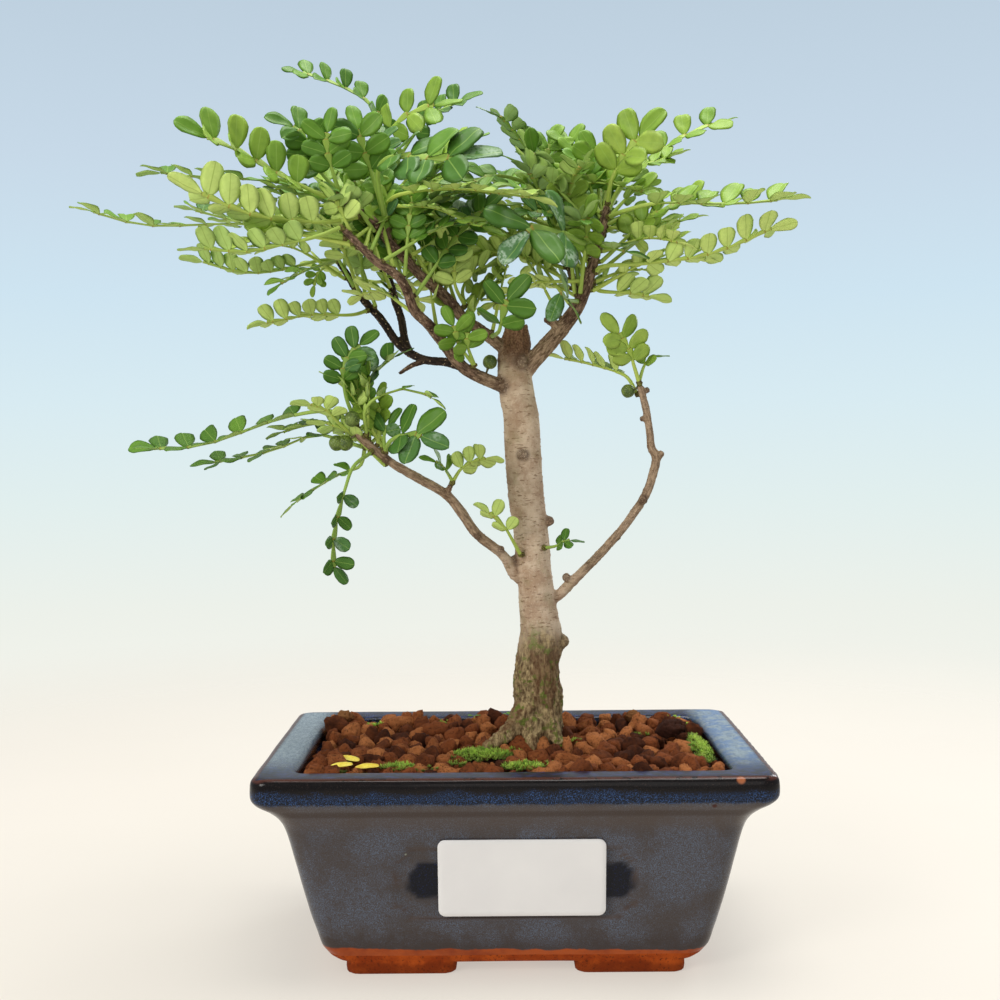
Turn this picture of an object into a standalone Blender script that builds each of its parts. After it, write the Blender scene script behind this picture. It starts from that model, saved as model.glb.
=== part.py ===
"""A small Chinese pepper bonsai in a glazed oblong pot, as closed solids at their real size.

Sizes are in millimetres until a mesh is made. X runs to the right along the pot, Y away from its
front and Z up, and the tree is laid out round the middle of the pot's foot.
"""

import math
from collections import namedtuple

import bmesh
import bpy
from mathutils import Matrix, Vector, noise

MM = 0.001
GAP = 0.3

# Pot
POT_WIDTH = 153.0
POT_DEPTH = 96.0
POT_HEIGHT = 61.4
FOOT_HEIGHT = 5.5
FOOT_SIZE = (33.0, 22.0)
FOOT_REACH = (50.5, 34.2)
FLOOR_TOP = 11.0
DRAIN_RADIUS = 6.0
DRAIN_REACH = 26.0
PANEL_SIZE = (71.0, 22.6)
PANEL_DEPTH = 1.2
PANEL_MIDDLE = 28.4
PANEL_NOTCH = 4.0
LABEL_SIZE = (49.0, 23.8)
LABEL_MIDDLE = (2.0, 30.5)
LABEL_THICK = 0.4

# Soil
SCREEN_SIZE = 24.0
SCREEN_THICK = 0.8
SCREEN_CELLS = 5
BED_TOP = 55.0
DRESSING_TOP = 59.9
DRESSING_SPAN = (66.0, 38.0)
DRESSING_CELLS = (20, 11)
DRESSING_ROUGH = 1.3
DRESSING_GRAIN = 6.5
MOUND_RISE = 1.6
MOUND_REACH = 24.0
SOCKET_RADIUS = 9.9

# Leaves: widths are shares of a leaflet's length, and bare shares are of the whole stalk.
LEAF_THICK = 0.45
STALK_HALF = 0.5
LEAFLET_BASE = 0.45
LEAFLET_WIDTH = 0.66
LEAFLET_ROOM = 0.82
LEAFLET_TIP = 0.42
END_LEAFLET_WIDTH = 0.5
END_LEAFLET_ROOM = 1.05
END_PAIR_BACK = 1.8
BARE_LONG = 0.28
BARE_SHORT = 0.42
LEAFLET_FORWARD = math.radians(32)
LEAFLET_RISE = math.radians(8)
BUD_RADIUS = 0.95

# The front view that the tree's places are read from: ACROSS and DOWN count in its frame of 1000 by
# 1000, seen by an eye at this place in millimetres, which looks slightly down.
FRAME_MIDDLE = 500.0
FRAME_LENS = 1250.0
EYE = Vector((-3.6, -400.0, 155.0))
EYE_DOWN = math.radians(2.28)
EYE_ROLL = math.radians(-0.43)

FORWARD = Vector((0, math.cos(EYE_DOWN), -math.sin(EYE_DOWN)))
LEVEL_UP = Vector((1, 0, 0)).cross(FORWARD)
RIGHT = math.cos(EYE_ROLL) * Vector((1, 0, 0)) + math.sin(EYE_ROLL) * LEVEL_UP
UP = math.cos(EYE_ROLL) * LEVEL_UP - math.sin(EYE_ROLL) * Vector((1, 0, 0))

Station = namedtuple("Station", "place along radius")
Leaf = namedtuple("Leaf", "pairs size tilt route")


def sight(across, down, depth):
    """The point seen at this place of the front view, DEPTH behind the middle of the pot."""
    ray = FORWARD + RIGHT * (across - FRAME_MIDDLE) / FRAME_LENS + UP * (FRAME_MIDDLE - down) / FRAME_LENS
    return EYE + ray * ((depth - EYE.y) / ray.y)


# Each limb is a row of places in the front view: across, down, depth behind the pot's middle, radius.
TRUNK = [
    (534, 765, 5, 8.7), (534, 740, 5, 8.8), (538, 719, 5, 7.9), (539, 700, 5, 7.8), (537, 681, 5, 7.5),
    (538, 659, 5, 7.0), (541, 640, 5, 7.1), (539, 615, 5, 6.3), (535, 577, 4, 5.6), (531, 535, 4, 5.6),
    (526, 494, 4, 5.8), (523, 453, 3, 5.9), (521, 418, 3, 5.7), (517, 395, 3, 5.6), (514, 370, 3, 5.4),
    (514, 350, 3, 4.9), (516, 334, 3, 3.9), (516, 326, 3, 3.5),
]
LIMBS = {
    "right_upper": [
        (520, 376, 3, 3.0), (532, 362, 2, 2.8), (550, 342, 2, 2.7), (570, 318, 1, 2.4), (582, 298, -1, 2.0),
        (590, 275, -3, 1.7), (600, 240, -5, 1.4), (607, 206, -7, 1.1),
    ],
    "left_lower_main": [
        (512, 389, 2, 2.3), (497, 384, 1, 2.1), (470, 372, -3, 2.0), (457, 361, -6, 1.9), (442, 341, -9, 1.8),
        (429, 325, -12, 1.7), (414, 310, -14, 1.6), (406, 288, -17, 1.5), (394, 273, -19, 1.4),
        (378, 263, -21, 1.3), (367, 253, -23, 1.2), (355, 241, -25, 1.1), (344, 230, -27, 1.0),
    ],
    "left_upper_main": [
        (512, 354, 3, 2.2), (501, 346, 2, 2.0), (483, 332, 1, 1.9), (464, 319, -1, 1.9),
        (452, 304, -3, 1.8), (438, 290, -5, 1.8), (422, 277, -8, 1.6), (409, 263, -10, 1.5),
        (400, 253, -11, 1.5), (387, 240, -13, 1.4), (377, 225, -15, 1.4), (368, 217, -16, 1.3),
        (355, 207, -18, 1.2), (342, 195, -20, 1.1),
    ],
    "back_limb": [
        (470, 372, -3, 1.3), (458, 366, 0, 1.4), (445, 362, 4, 1.4), (426, 360, 10, 1.4), (408, 352, 17, 1.4),
        (396, 341, 22, 1.4), (381, 319, 26, 1.4), (368, 305, 28, 1.4), (355, 288, 30, 1.3),
        (347, 274, 31, 1.2), (339, 263, 32, 1.0),
    ],
    "back_limb_second": [
        (411, 354, 16, 1.2), (405, 340, 22, 1.3), (401, 318, 28, 1.4), (395, 300, 32, 1.4),
        (390, 282, 35, 1.3), (382, 269, 37, 1.2), (377, 246, 39, 1.1), (380, 215, 40, 1.0),
        (388, 184, 39, 0.9),
    ],
    "dead_twig": [(430, 360, 9, 1.0), (413, 365, 11, 0.9), (399, 374, 12, 0.6)],
    "upright_shoot": [(389, 243, -13, 1.1), (387, 224, -12, 1.0), (386, 208, -11, 0.9)],
    "middle_shoot": [
        (580, 302, 0, 1.3), (570, 270, 5, 1.2), (561, 240, 9, 1.1), (552, 210, 12, 1.0), (541, 182, 13, 0.9),
    ],
    "sawn_stub": [(560, 332, 1, 1.6), (551, 319, 0, 1.3)],
    "left_lower": [
        (528, 584, 4, 1.9), (514, 573, 2, 1.8), (503, 555, 0, 1.6), (477, 534, -3, 1.6), (459, 509, -6, 1.6),
        (444, 493, -8, 1.5), (418, 478, -11, 1.5), (395, 465, -14, 1.4), (378, 452, -16, 1.3),
        (360, 437, -18, 1.2), (357, 427, -19, 1.0),
    ],
    "left_spur": [(446, 495, -8, 1.1), (451, 485, -8, 0.9)],
    "right_whip": [
        (545, 603, 5, 1.9), (557, 596, 5, 1.7), (572, 582, 4, 1.6), (594, 560, 2, 1.5), (618, 534, 0, 1.4),
        (632, 516, -2, 1.4), (646, 494, -4, 1.4), (654, 470, -6, 1.4), (656, 457, -7, 1.4),
        (651, 447, -7, 1.3), (650, 434, -8, 1.2), (646, 409, -9, 1.2), (640, 386, -10, 1.1),
    ],
    "whip_stub": [(655, 460, -7, 1.2), (663, 452, -7, 1.0)],
}
KNOBS = [(562, 641, 4, 2.4), (549, 521, 3, 1.7), (514, 561, 3, 2.0), (503, 386, 0, 2.4)]

# Fruits: across, down, depth, radius, and how far a twin lies beside the first.
FRUITS = {
    "fruit_left_upper": (352, 419, -23, 2.4, 0.0),
    "fruit_left_twin": (341, 443, -19, 2.4, 2.6),
    "fruit_trunk": (490, 362, 0, 2.3, 0.0),
    "fruit_right": (628, 391, -10, 2.1, 0.0),
}

# Each spray of leaves grows from one bud on a limb. Leaf: pairs of leaflets, their length, how far
# its upper side turns from straight up towards the front in degrees, and its route in the front view.
SPRAYS = {
    "leaves_upper_tip_front": ("left_upper_main", 1.0, [
        Leaf(3, 7.0, 65, [(327, 150, -26), (328, 127, -28), (332, 104, -28)]),
        Leaf(4, 7.5, 50, [(318, 168, -22), (301, 132, -24), (263, 118, -28)]),
    ]),
    "leaf_upper_left_ovals": ("left_upper_main", 0.985, [
        Leaf(6, 8.5, 55, [(315, 192, -26), (280, 175, -30), (238, 151, -34), (172, 123, -40)]),
    ]),
    "leaf_upper_left_edge": ("left_upper_main", 0.955, [
        Leaf(6, 7.5, 8, [(308, 192, -12), (270, 181, -4), (200, 177, 4), (136, 170, 9)]),
    ]),
    "leaf_upper_left_pale": ("left_upper_main", 0.90, [
        Leaf(6, 8.5, -35, [(325, 222, -27), (265, 218, -36), (214, 200, -42), (169, 174, -46)]),
    ]),
    "leaves_front_yellow": ("upright_shoot", 1.0, [
        Leaf(6, 7.5, 10, [(402, 194, -22), (453, 189, -32), (500, 193, -36), (560, 203, -38)]),
        Leaf(6, 7.0, 15, [(400, 206, -18), (434, 208, -24), (466, 221, -28), (508, 233, -32)]),
    ]),
    "leaves_front_glossy": ("upright_shoot", 0.6, [
        Leaf(4, 10.0, 65, [(378, 172, -24), (395, 156, -32), (440, 159, -42), (500, 148, -46)]),
        Leaf(3, 8.0, 65, [(372, 175, -16), (361, 140, -20), (350, 100, -19)]),
    ]),
    "leaf_lower_tip_shelf": ("left_lower_main", 1.0, [
        Leaf(6, 7.0, -8, [(318, 236, -32), (278, 246, -35), (239, 252, -36), (175, 245, -37)]),
    ]),
    "leaves_lower_tip_long": ("left_lower_main", 0.97, [
        Leaf(8, 7.5, 5, [(320, 229, -20), (231, 224, 2), (143, 225, 10), (68, 204, 12)]),
        Leaf(5, 6.5, 5, [(318, 234, -27), (270, 231, -19), (220, 217, -14), (172, 205, -12)]),
    ]),
    "leaves_back_left": ("back_limb", 1.0, [
        Leaf(8, 6.5, 12, [(317, 261, 30), (277, 271, 26), (239, 272, 22), (180, 255, 19)]),
        Leaf(4, 6.0, 0, [(318, 266, 22), (301, 273, 14), (267, 292, 2)]),
        Leaf(3, 3.5, 80, [(319, 272, 34), (315, 283, 35), (311, 297, 36)]),
    ]),
    "leaf_back_left_low": ("back_limb", 0.72, [
        Leaf(6, 6.0, -15, [(350, 315, 20), (312, 315, 14), (277, 321, 9), (245, 328, 7)]),
    ]),
    "leaves_low_branch_upright": ("left_lower", 1.0, [
        Leaf(4, 7.5, 60, [(345, 392, -22), (348, 362, -24), (380, 330, -22)]),
        Leaf(3, 8.0, 50, [(358, 398, -16), (380, 368, -13), (414, 344, -13)]),
    ]),
    "leaves_low_branch_long": ("left_lower", 0.975, [
        Leaf(7, 7.5, 10, [(335, 412, -18), (283, 418, -13), (200, 446, -6), (126, 449, -2)]),
        Leaf(3, 6.5, -20, [(340, 424, -22), (322, 408, -28), (290, 402, -33)]),
        Leaf(3, 6.0, 10, [(335, 423, -13), (299, 427, -7), (266, 440, -2)]),
    ]),
    "leaf_low_branch_arch": ("left_lower", 0.95, [
        Leaf(3, 4.5, 5, [(366, 408, -25), (390, 391, -27), (418, 391, -28), (446, 408, -29)]),
    ]),
    "leaves_low_branch_shelf": ("left_lower", 0.91, [
        Leaf(7, 6.0, -8, [(345, 442, -8), (314, 435, -4), (268, 452, 1), (191, 467, 5)]),
        Leaf(5, 6.0, -5, [(360, 466, -13), (342, 473, -14), (313, 490, -15), (278, 516, -16)]),
    ]),
    "leaf_low_branch_hanging": ("left_lower", 0.89, [
        Leaf(5, 6.5, 85, [
            (354, 466, -27), (346, 486, -30), (334, 532, -31), (334, 568, -31), (347, 583, -31),
        ]),
    ]),
    "leaves_low_branch_front": ("left_lower", 0.85, [
        Leaf(2, 9.5, 60, [(392, 440, -24), (412, 434, -31), (450, 448, -38)]),
        Leaf(1, 6.0, 45, [(384, 436, -18), (390, 424, -19), (403, 408, -20)]),
    ]),
    "leaves_spur": ("left_spur", 1.0, [
        Leaf(2, 5.0, 35, [(444, 468, -11), (432, 460, -13), (418, 455, -14)]),
        Leaf(2, 5.5, 30, [(462, 468, -9), (478, 460, -10), (506, 457, -12)]),
    ]),
    "sprout_trunk_left": ("trunk", 0.49, [
        Leaf(2, 4.5, 40, [(503, 524, -8), (492, 515, -10), (473, 503, -12)]),
    ]),
    "sprout_trunk_right": ("trunk", 0.50, [
        Leaf(2, 4.0, 30, [(556, 546, -6), (566, 541, -7), (585, 539, -8)]),
    ]),
    "leaves_whip_tip": ("right_whip", 1.0, [
        Leaf(3, 7.0, 65, [(634, 366, -12), (627, 345, -14), (602, 314, -16)]),
        Leaf(1, 4.5, 20, [(644, 366, -9), (651, 357, -9), (669, 352, -9)]),
    ]),
    "leaf_whip_side": ("right_whip", 0.97, [
        Leaf(5, 6.0, 40, [(627, 377, -6), (610, 370, -2), (580, 362, 6), (546, 356, 13)]),
    ]),
    "leaf_right_upright": ("right_upper", 1.0, [
        Leaf(3, 9.0, 65, [(611, 182, -12), (621, 160, -15), (634, 143, -17), (664, 108, -20)]),
    ]),
    "leaves_right_top": ("right_upper", 0.975, [
        Leaf(4, 6.5, 25, [(618, 190, -3), (637, 168, -1), (660, 161, 1), (692, 149, 3)]),
        Leaf(5, 7.5, 25, [(620, 190, 4), (642, 166, 9), (680, 138, 13), (736, 115, 18)]),
    ]),
    "leaf_right_long": ("right_upper", 0.95, [
        Leaf(6, 8.5, 10, [(624, 211, -14), (660, 203, -20), (732, 204, -24), (812, 197, -26)]),
    ]),
    "leaves_right_middle": ("right_upper", 0.90, [
        Leaf(4, 6.0, -30, [(624, 218, 0), (643, 229, 3), (662, 237, 5), (688, 247, 8)]),
        Leaf(3, 7.5, 60, [(599, 197, 1), (597, 168, 2), (594, 152, 2), (580, 129, 1)]),
        Leaf(5, 7.0, 10, [(615, 232, 10), (640, 225, 22), (676, 220, 38)]),
    ]),
    "leaf_right_shelf": ("right_upper", 0.67, [
        Leaf(7, 7.0, -12, [(605, 266, -9), (664, 262, -12), (720, 251, -16), (797, 217, -20)]),
    ]),
    "leaves_right_low": ("right_upper", 0.60, [
        Leaf(3, 7.0, -30, [(600, 291, -1), (635, 294, -1), (674, 303, 0)]),
        Leaf(2, 6.5, -20, [(596, 288, 4), (608, 281, 7), (638, 273, 11)]),
    ]),
    "leaves_front_big": ("right_upper", 0.83, [
        Leaf(2, 10.5, 60, [(584, 243, -14), (564, 240, -26), (540, 236, -38), (511, 256, -46)]),
        Leaf(1, 7.5, 10, [(604, 247, -12), (620, 250, -16), (650, 262, -20)]),
    ]),
    "leaf_stump_front": ("left_upper_main", 0.12, [
        Leaf(2, 7.5, 75, [(499, 331, -12), (503, 313, -18), (509, 298, -22), (527, 276, -26)]),
    ]),
    "leaf_right_front_low": ("right_upper", 0.50, [
        Leaf(1, 8.5, 60, [(566, 304, -14), (556, 297, -22), (540, 288, -28)]),
    ]),
    "leaves_middle_shoot": ("middle_shoot", 1.0, [
        Leaf(5, 7.0, 10, [(530, 155, 9), (514, 132, 4), (499, 116, 0), (478, 103, -3)]),
        Leaf(3, 7.5, 55, [(546, 160, 11), (550, 143, 13), (563, 124, 15)]),
        Leaf(2, 7.5, 65, [(537, 168, 3), (533, 152, -8), (529, 128, -14)]),
    ]),
    "leaves_back_top": ("back_limb_second", 1.0, [
        Leaf(4, 7.5, 50, [(388, 150, 32), (394, 123, 26), (415, 109, 21), (446, 90, 17)]),
        Leaf(4, 7.0, 35, [(404, 150, 34), (428, 118, 32), (450, 106, 31), (482, 92, 30)]),
        Leaf(6, 6.5, 15, [(384, 145, 38), (376, 110, 36), (340, 86, 33), (280, 66, 30)]),
    ]),
    "leaves_upper_middle": ("left_upper_main", 0.30, [
        Leaf(4, 6.0, 70, [(455, 285, -7), (454, 262, -9), (448, 243, -11), (438, 222, -12)]),
        Leaf(3, 6.0, 20, [(463, 288, 3), (476, 271, 6), (506, 262, 9)]),
    ]),
    "leaves_lower_middle": ("left_lower_main", 0.22, [
        Leaf(3, 6.0, 60, [(459, 345, -12), (454, 328, -15), (444, 304, -17)]),
        Leaf(2, 6.0, 60, [(467, 344, -12), (468, 330, -13), (471, 309, -14)]),
    ]),
    "leaves_back_low": ("back_limb_second", 0.52, [
        Leaf(5, 7.0, 10, [(405, 274, 42), (432, 262, 50), (468, 252, 58)]),
        Leaf(6, 7.0, -5, [(375, 282, 43), (345, 274, 51), (300, 262, 60)]),
    ]),
    "leaves_back_high": ("back_limb_second", 0.88, [
        Leaf(5, 7.0, -15, [(410, 196, 48), (440, 190, 56), (480, 184, 64)]),
        Leaf(5, 7.0, -15, [(362, 186, 48), (335, 178, 56), (295, 168, 63)]),
    ]),
    "leaves_middle_back": ("middle_shoot", 0.62, [
        Leaf(5, 7.0, -10, [(566, 214, 24), (582, 204, 36), (606, 196, 50)]),
        Leaf(5, 7.0, -10, [(544, 222, 24), (522, 218, 36), (494, 212, 50)]),
    ]),
}

# Things that lie on the dressing: middle, half sizes, turn in degrees.
MOSS = {
    "moss_middle": ((-9.5, -13.0), (9.5, 7.5), 8),
    "moss_front": ((3.0, -28.5), (6.5, 4.0), -4),
    "moss_left": ((-34.5, -28.5), (5.5, 3.6), 0),
    "moss_right": ((59.3, -6.0), (2.7, 18.0), 0),
}
MOSS_RISE = 2.2
CLODS = {
    "tan_clod": ((-58.0, 28.0), (3.2, 2.9, 2.6)),
    "round_clod": ((51.0, 6.0), (4.6, 3.6, 3.1)),
    "pale_stone": ((42.0, 28.5), (2.9, 2.5, 2.3)),
}
FALLEN_LEAFLETS = {
    "fallen_leaflet_left": ((-52.0, -28.0), 12),
    "fallen_leaflet_middle": ((-50.5, -20.5), -24),
    "fallen_leaflet_right": ((-44.0, -29.5), 6),
}
FALLEN_SIZE = (3.4, 1.9, 0.5)
SEEDLINGS = {"seedling_left": (-13.0, 27.0), "seedling_right": (-1.0, 29.5)}
SEEDLING_HEIGHT = 3.4
FLAT_MARGIN = 5.2

COLOURS = {
    "glaze": ((0.035, 0.05, 0.085), 0.18),
    "paper": ((0.86, 0.87, 0.88), 0.45),
    "screen": ((0.05, 0.09, 0.06), 0.6),
    "soil": ((0.09, 0.045, 0.025), 0.95),
    "clod": ((0.19, 0.075, 0.035), 0.95),
    "stone": ((0.5, 0.36, 0.25), 0.85),
    "moss": ((0.1, 0.2, 0.02), 0.9),
    "yellow_leaf": ((0.8, 0.6, 0.04), 0.5),
    "bark": ((0.33, 0.25, 0.19), 0.85),
    "fruit": ((0.12, 0.2, 0.04), 0.45),
    "leaf": ((0.1, 0.27, 0.03), 0.38),
}


def clear_scene():
    for obj in list(bpy.data.objects):
        bpy.data.objects.remove(obj, do_unlink=True)


def new_collection(name):
    collection = bpy.data.collections.new(name)
    bpy.context.scene.collection.children.link(collection)
    return collection


def material(name):
    """The part's material of this name, made the first time."""
    if name in bpy.data.materials:
        return bpy.data.materials[name]
    colour, roughness = COLOURS[name]
    made = bpy.data.materials.new(name)
    made.use_nodes = True
    shader = made.node_tree.nodes["Principled BSDF"]
    shader.inputs["Base Color"].default_value = (*colour, 1)
    shader.inputs["Roughness"].default_value = roughness
    shader.inputs["Metallic"].default_value = 0
    made.diffuse_color = (*colour, 1)
    return made


def add_object(name, form, collection, finish=None):
    """An object from a form in millimetres, at the middle of the pot's foot."""
    mesh = bpy.data.meshes.new(name)
    bmesh.ops.scale(form, vec=(MM, MM, MM), verts=form.verts)
    form.to_mesh(mesh)
    form.free()
    if finish:
        mesh.materials.append(material(finish))
    obj = bpy.data.objects.new(name, mesh)
    collection.objects.link(obj)
    return obj


def as_helper(obj):
    obj.hide_render = True
    obj.display_type = "WIRE"
    return obj


def combine(obj, other, operation, folds=False):
    """A Boolean with another object. FOLDS is for a sheet whose own leaflets may touch each other."""
    modifier = obj.modifiers.new(f"{operation.lower()} {other.name}", "BOOLEAN")
    modifier.operation = operation
    modifier.object = other
    modifier.solver = "EXACT"
    modifier.use_self = folds


def rounded_rectangle(half_x, half_y, corner, steps=3):
    """Corner points, anticlockwise seen from above."""
    points = []
    for turn, (side_x, side_y) in enumerate(((1, 1), (-1, 1), (-1, -1), (1, -1))):
        for step in range(steps + 1):
            angle = math.pi / 2 * (turn + step / steps)
            points.append((
                side_x * (half_x - corner) + corner * math.cos(angle),
                side_y * (half_y - corner) + corner * math.sin(angle),
            ))
    return points


def loft(rings):
    """A closed form through rings of points from the lowest outside one to the last, capped at both ends."""
    form = bmesh.new()
    rows = [[form.verts.new(point) for point in ring] for ring in rings]
    count = len(rows[0])
    for low, high in zip(rows, rows[1:]):
        for i in range(count):
            j = (i + 1) % count
            form.faces.new((low[i], low[j], high[j], high[i]))
    form.faces.new(rows[0][::-1])
    form.faces.new(rows[-1])
    return form


def ring_at(z, half_x, half_y, corner):
    return [(x, y, z) for x, y in rounded_rectangle(half_x, half_y, corner)]


def extruded(points, low, high):
    return loft([[(x, y, low) for x, y in points], [(x, y, high) for x, y in points]])


# Pot: height, half width, half depth and corner radius of each level.
HALF_W = POT_WIDTH / 2
HALF_D = POT_DEPTH / 2
OUTER_LEVELS = [
    (FOOT_HEIGHT, 54.8, 34.6, 6.0), (6.6, 56.6, 35.6, 6.5), (12.3, 59.5, 37.6, 7.0), (17.0, 60.9, 38.2, 7.0),
    (43.0, 67.3, 41.6, 7.5), (47.5, 69.4, 43.2, 8.0), (50.5, 72.0, 45.0, 7.0),
    (53.0, HALF_W - 1.2, HALF_D - 0.9, 6.0), (55.0, HALF_W, HALF_D, 5.5), (60.0, HALF_W, HALF_D, 5.5),
    (POT_HEIGHT, HALF_W - 1.2, HALF_D - 1.2, 4.6),
]
INNER_LEVELS = [
    (POT_HEIGHT, 64.8, 36.8, 5.5), (60.4, 63.9, 35.9, 5.0), (55.0, 63.0, 35.3, 5.0), (20.0, 55.9, 32.8, 4.5),
    (FLOOR_TOP, 53.4, 31.2, 4.5),
]
WALL_LOW = OUTER_LEVELS[3]
WALL_HIGH = OUTER_LEVELS[4]
WALL_LEAN = math.atan2(WALL_HIGH[2] - WALL_LOW[2], WALL_HIGH[0] - WALL_LOW[0])


def wall_frame(z, across=0.0):
    """Matrix whose X runs along the front wall, Y up it and Z out of it, at this height."""
    share = (z - WALL_LOW[0]) / (WALL_HIGH[0] - WALL_LOW[0])
    half_depth = WALL_LOW[2] + share * (WALL_HIGH[2] - WALL_LOW[2])
    lean = Matrix.Rotation(math.pi / 2 + WALL_LEAN, 4, "X")
    return Matrix.Translation((across, -half_depth, z)) @ lean


def panel_outline():
    """The recessed panel: an oblong with a hollow bitten from each corner."""
    half_x, half_y = PANEL_SIZE[0] / 2, PANEL_SIZE[1] / 2
    points = []
    for turn, (side_x, side_y) in enumerate(((1, 1), (-1, 1), (-1, -1), (1, -1))):
        for step in range(4):
            angle = math.pi / 2 * (turn + 3 - step / 3)
            points.append((
                side_x * half_x + PANEL_NOTCH * math.cos(angle),
                side_y * half_y + PANEL_NOTCH * math.sin(angle),
            ))
    return points


def make_pot(parts, helpers):
    rings = [ring_at(*level) for level in OUTER_LEVELS + INNER_LEVELS]
    pot = add_object("pot", loft(rings), parts, "glaze")
    for side_x in (-1, 1):
        for side_y in (-1, 1):
            combine(pot, make_foot(side_x, side_y, helpers), "UNION")
        hole = extruded(circle(DRAIN_RADIUS, 16), FOOT_HEIGHT - 2, FLOOR_TOP + 2)
        bmesh.ops.translate(hole, vec=(side_x * DRAIN_REACH, 0, 0), verts=hole.verts)
        combine(pot, as_helper(add_object("drain hole", hole, helpers)), "DIFFERENCE")
    for turn in (0, math.pi):
        panel = extruded(panel_outline(), -PANEL_DEPTH, 4)
        panel.transform(Matrix.Rotation(turn, 4, "Z") @ wall_frame(PANEL_MIDDLE))
        combine(pot, as_helper(add_object("panel", panel, helpers)), "DIFFERENCE")
    return pot


def make_foot(side_x, side_y, helpers):
    half_x, half_y = FOOT_SIZE[0] / 2, FOOT_SIZE[1] / 2
    middle = (side_x * (FOOT_REACH[0] - half_x), side_y * (FOOT_REACH[1] - half_y), 0)
    foot = loft([
        ring_at(0, half_x - 0.8, half_y - 0.8, 3),
        ring_at(FOOT_HEIGHT + 2.5, half_x, half_y, 3),
    ])
    bmesh.ops.translate(foot, vec=middle, verts=foot.verts)
    return as_helper(add_object("foot", foot, helpers))


def circle(radius, sides):
    turns = [2 * math.pi * i / sides for i in range(sides)]
    return [(radius * math.cos(turn), radius * math.sin(turn)) for turn in turns]


def make_label(parts):
    half_x, half_y = LABEL_SIZE[0] / 2, LABEL_SIZE[1] / 2
    label = extruded(rounded_rectangle(half_x, half_y, 2.2), GAP, GAP + LABEL_THICK)
    label.transform(wall_frame(LABEL_MIDDLE[1], LABEL_MIDDLE[0]))
    add_object("label", label, parts, "paper")


def make_screen(name, across, parts):
    """A plastic mesh over a drainage hole: a square sheet with every other inner cell left out."""
    form = bmesh.new()
    half = SCREEN_SIZE / 2
    bmesh.ops.create_grid(form, x_segments=SCREEN_CELLS, y_segments=SCREEN_CELLS, size=half)
    cell = SCREEN_SIZE / SCREEN_CELLS
    open_cells = [
        face for face in form.faces
        if all(round(abs(value) / cell) == 1 for value in face.calc_center_median()[:2])
    ]
    bmesh.ops.delete(form, geom=open_cells, context="FACES")
    bmesh.ops.translate(form, vec=(across, 0, FLOOR_TOP + GAP), verts=form.verts)
    screen = add_object(name, form, parts, "screen")
    solidify(screen, SCREEN_THICK, 1)


def solidify(obj, thickness, offset):
    modifier = obj.modifiers.new("thickness", "SOLIDIFY")
    modifier.thickness = thickness * MM
    modifier.offset = offset
    return modifier


def inner_ring(z, inset):
    """The ring at this height that stays INSET clear of the pot's inner wall."""
    for high, low in zip(INNER_LEVELS, INNER_LEVELS[1:]):
        if z >= low[0]:
            break
    share = (z - low[0]) / (high[0] - low[0])
    half_x, half_y, corner = (a + share * (b - a) for a, b in zip(low[1:], high[1:]))
    return ring_at(z, half_x - inset, half_y - inset, corner)


def trunk_foot():
    return sight(*TRUNK[0][:3])


def make_soil_bed(parts, helpers):
    low = FLOOR_TOP + GAP + SCREEN_THICK + GAP
    rings = [inner_ring(z, GAP) for z in (low, 20.0, BED_TOP)]
    bed = add_object("soil_bed", loft(rings), parts, "soil")
    combine(bed, make_socket(trunk_foot().z - GAP, helpers), "DIFFERENCE")


def make_socket(low, helpers):
    socket = extruded(circle(SOCKET_RADIUS, 16), low, POT_HEIGHT + 10)
    foot = trunk_foot()
    bmesh.ops.translate(socket, vec=(foot.x, foot.y, 0), verts=socket.verts)
    return as_helper(add_object("trunk socket", socket, helpers))


def resting_places():
    """Middle and half sizes of each footprint that the dressing is flat under."""
    places = [(middle, half) for middle, half, _ in MOSS.values()]
    places += [(middle, size[:2]) for middle, size in CLODS.values()]
    places += [(middle, FALLEN_SIZE[:2]) for middle, _ in FALLEN_LEAFLETS.values()]
    places += [(middle, (1.0, 1.0)) for middle in SEEDLINGS.values()]
    return places


def dressing_height(x, y, places):
    """Clods make the dressing uneven, but it is flat where something rests on it."""
    for (middle_x, middle_y), (half_x, half_y) in places:
        if abs(x - middle_x) < half_x + FLAT_MARGIN and abs(y - middle_y) < half_y + FLAT_MARGIN:
            return DRESSING_TOP
    foot = trunk_foot()
    mound = MOUND_RISE * math.exp(-((x - foot.x) ** 2 + (y - foot.y) ** 2) / MOUND_REACH**2)
    return DRESSING_TOP + mound + DRESSING_ROUGH * noise.noise(Vector((x, y, 0)) / DRESSING_GRAIN)


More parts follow.
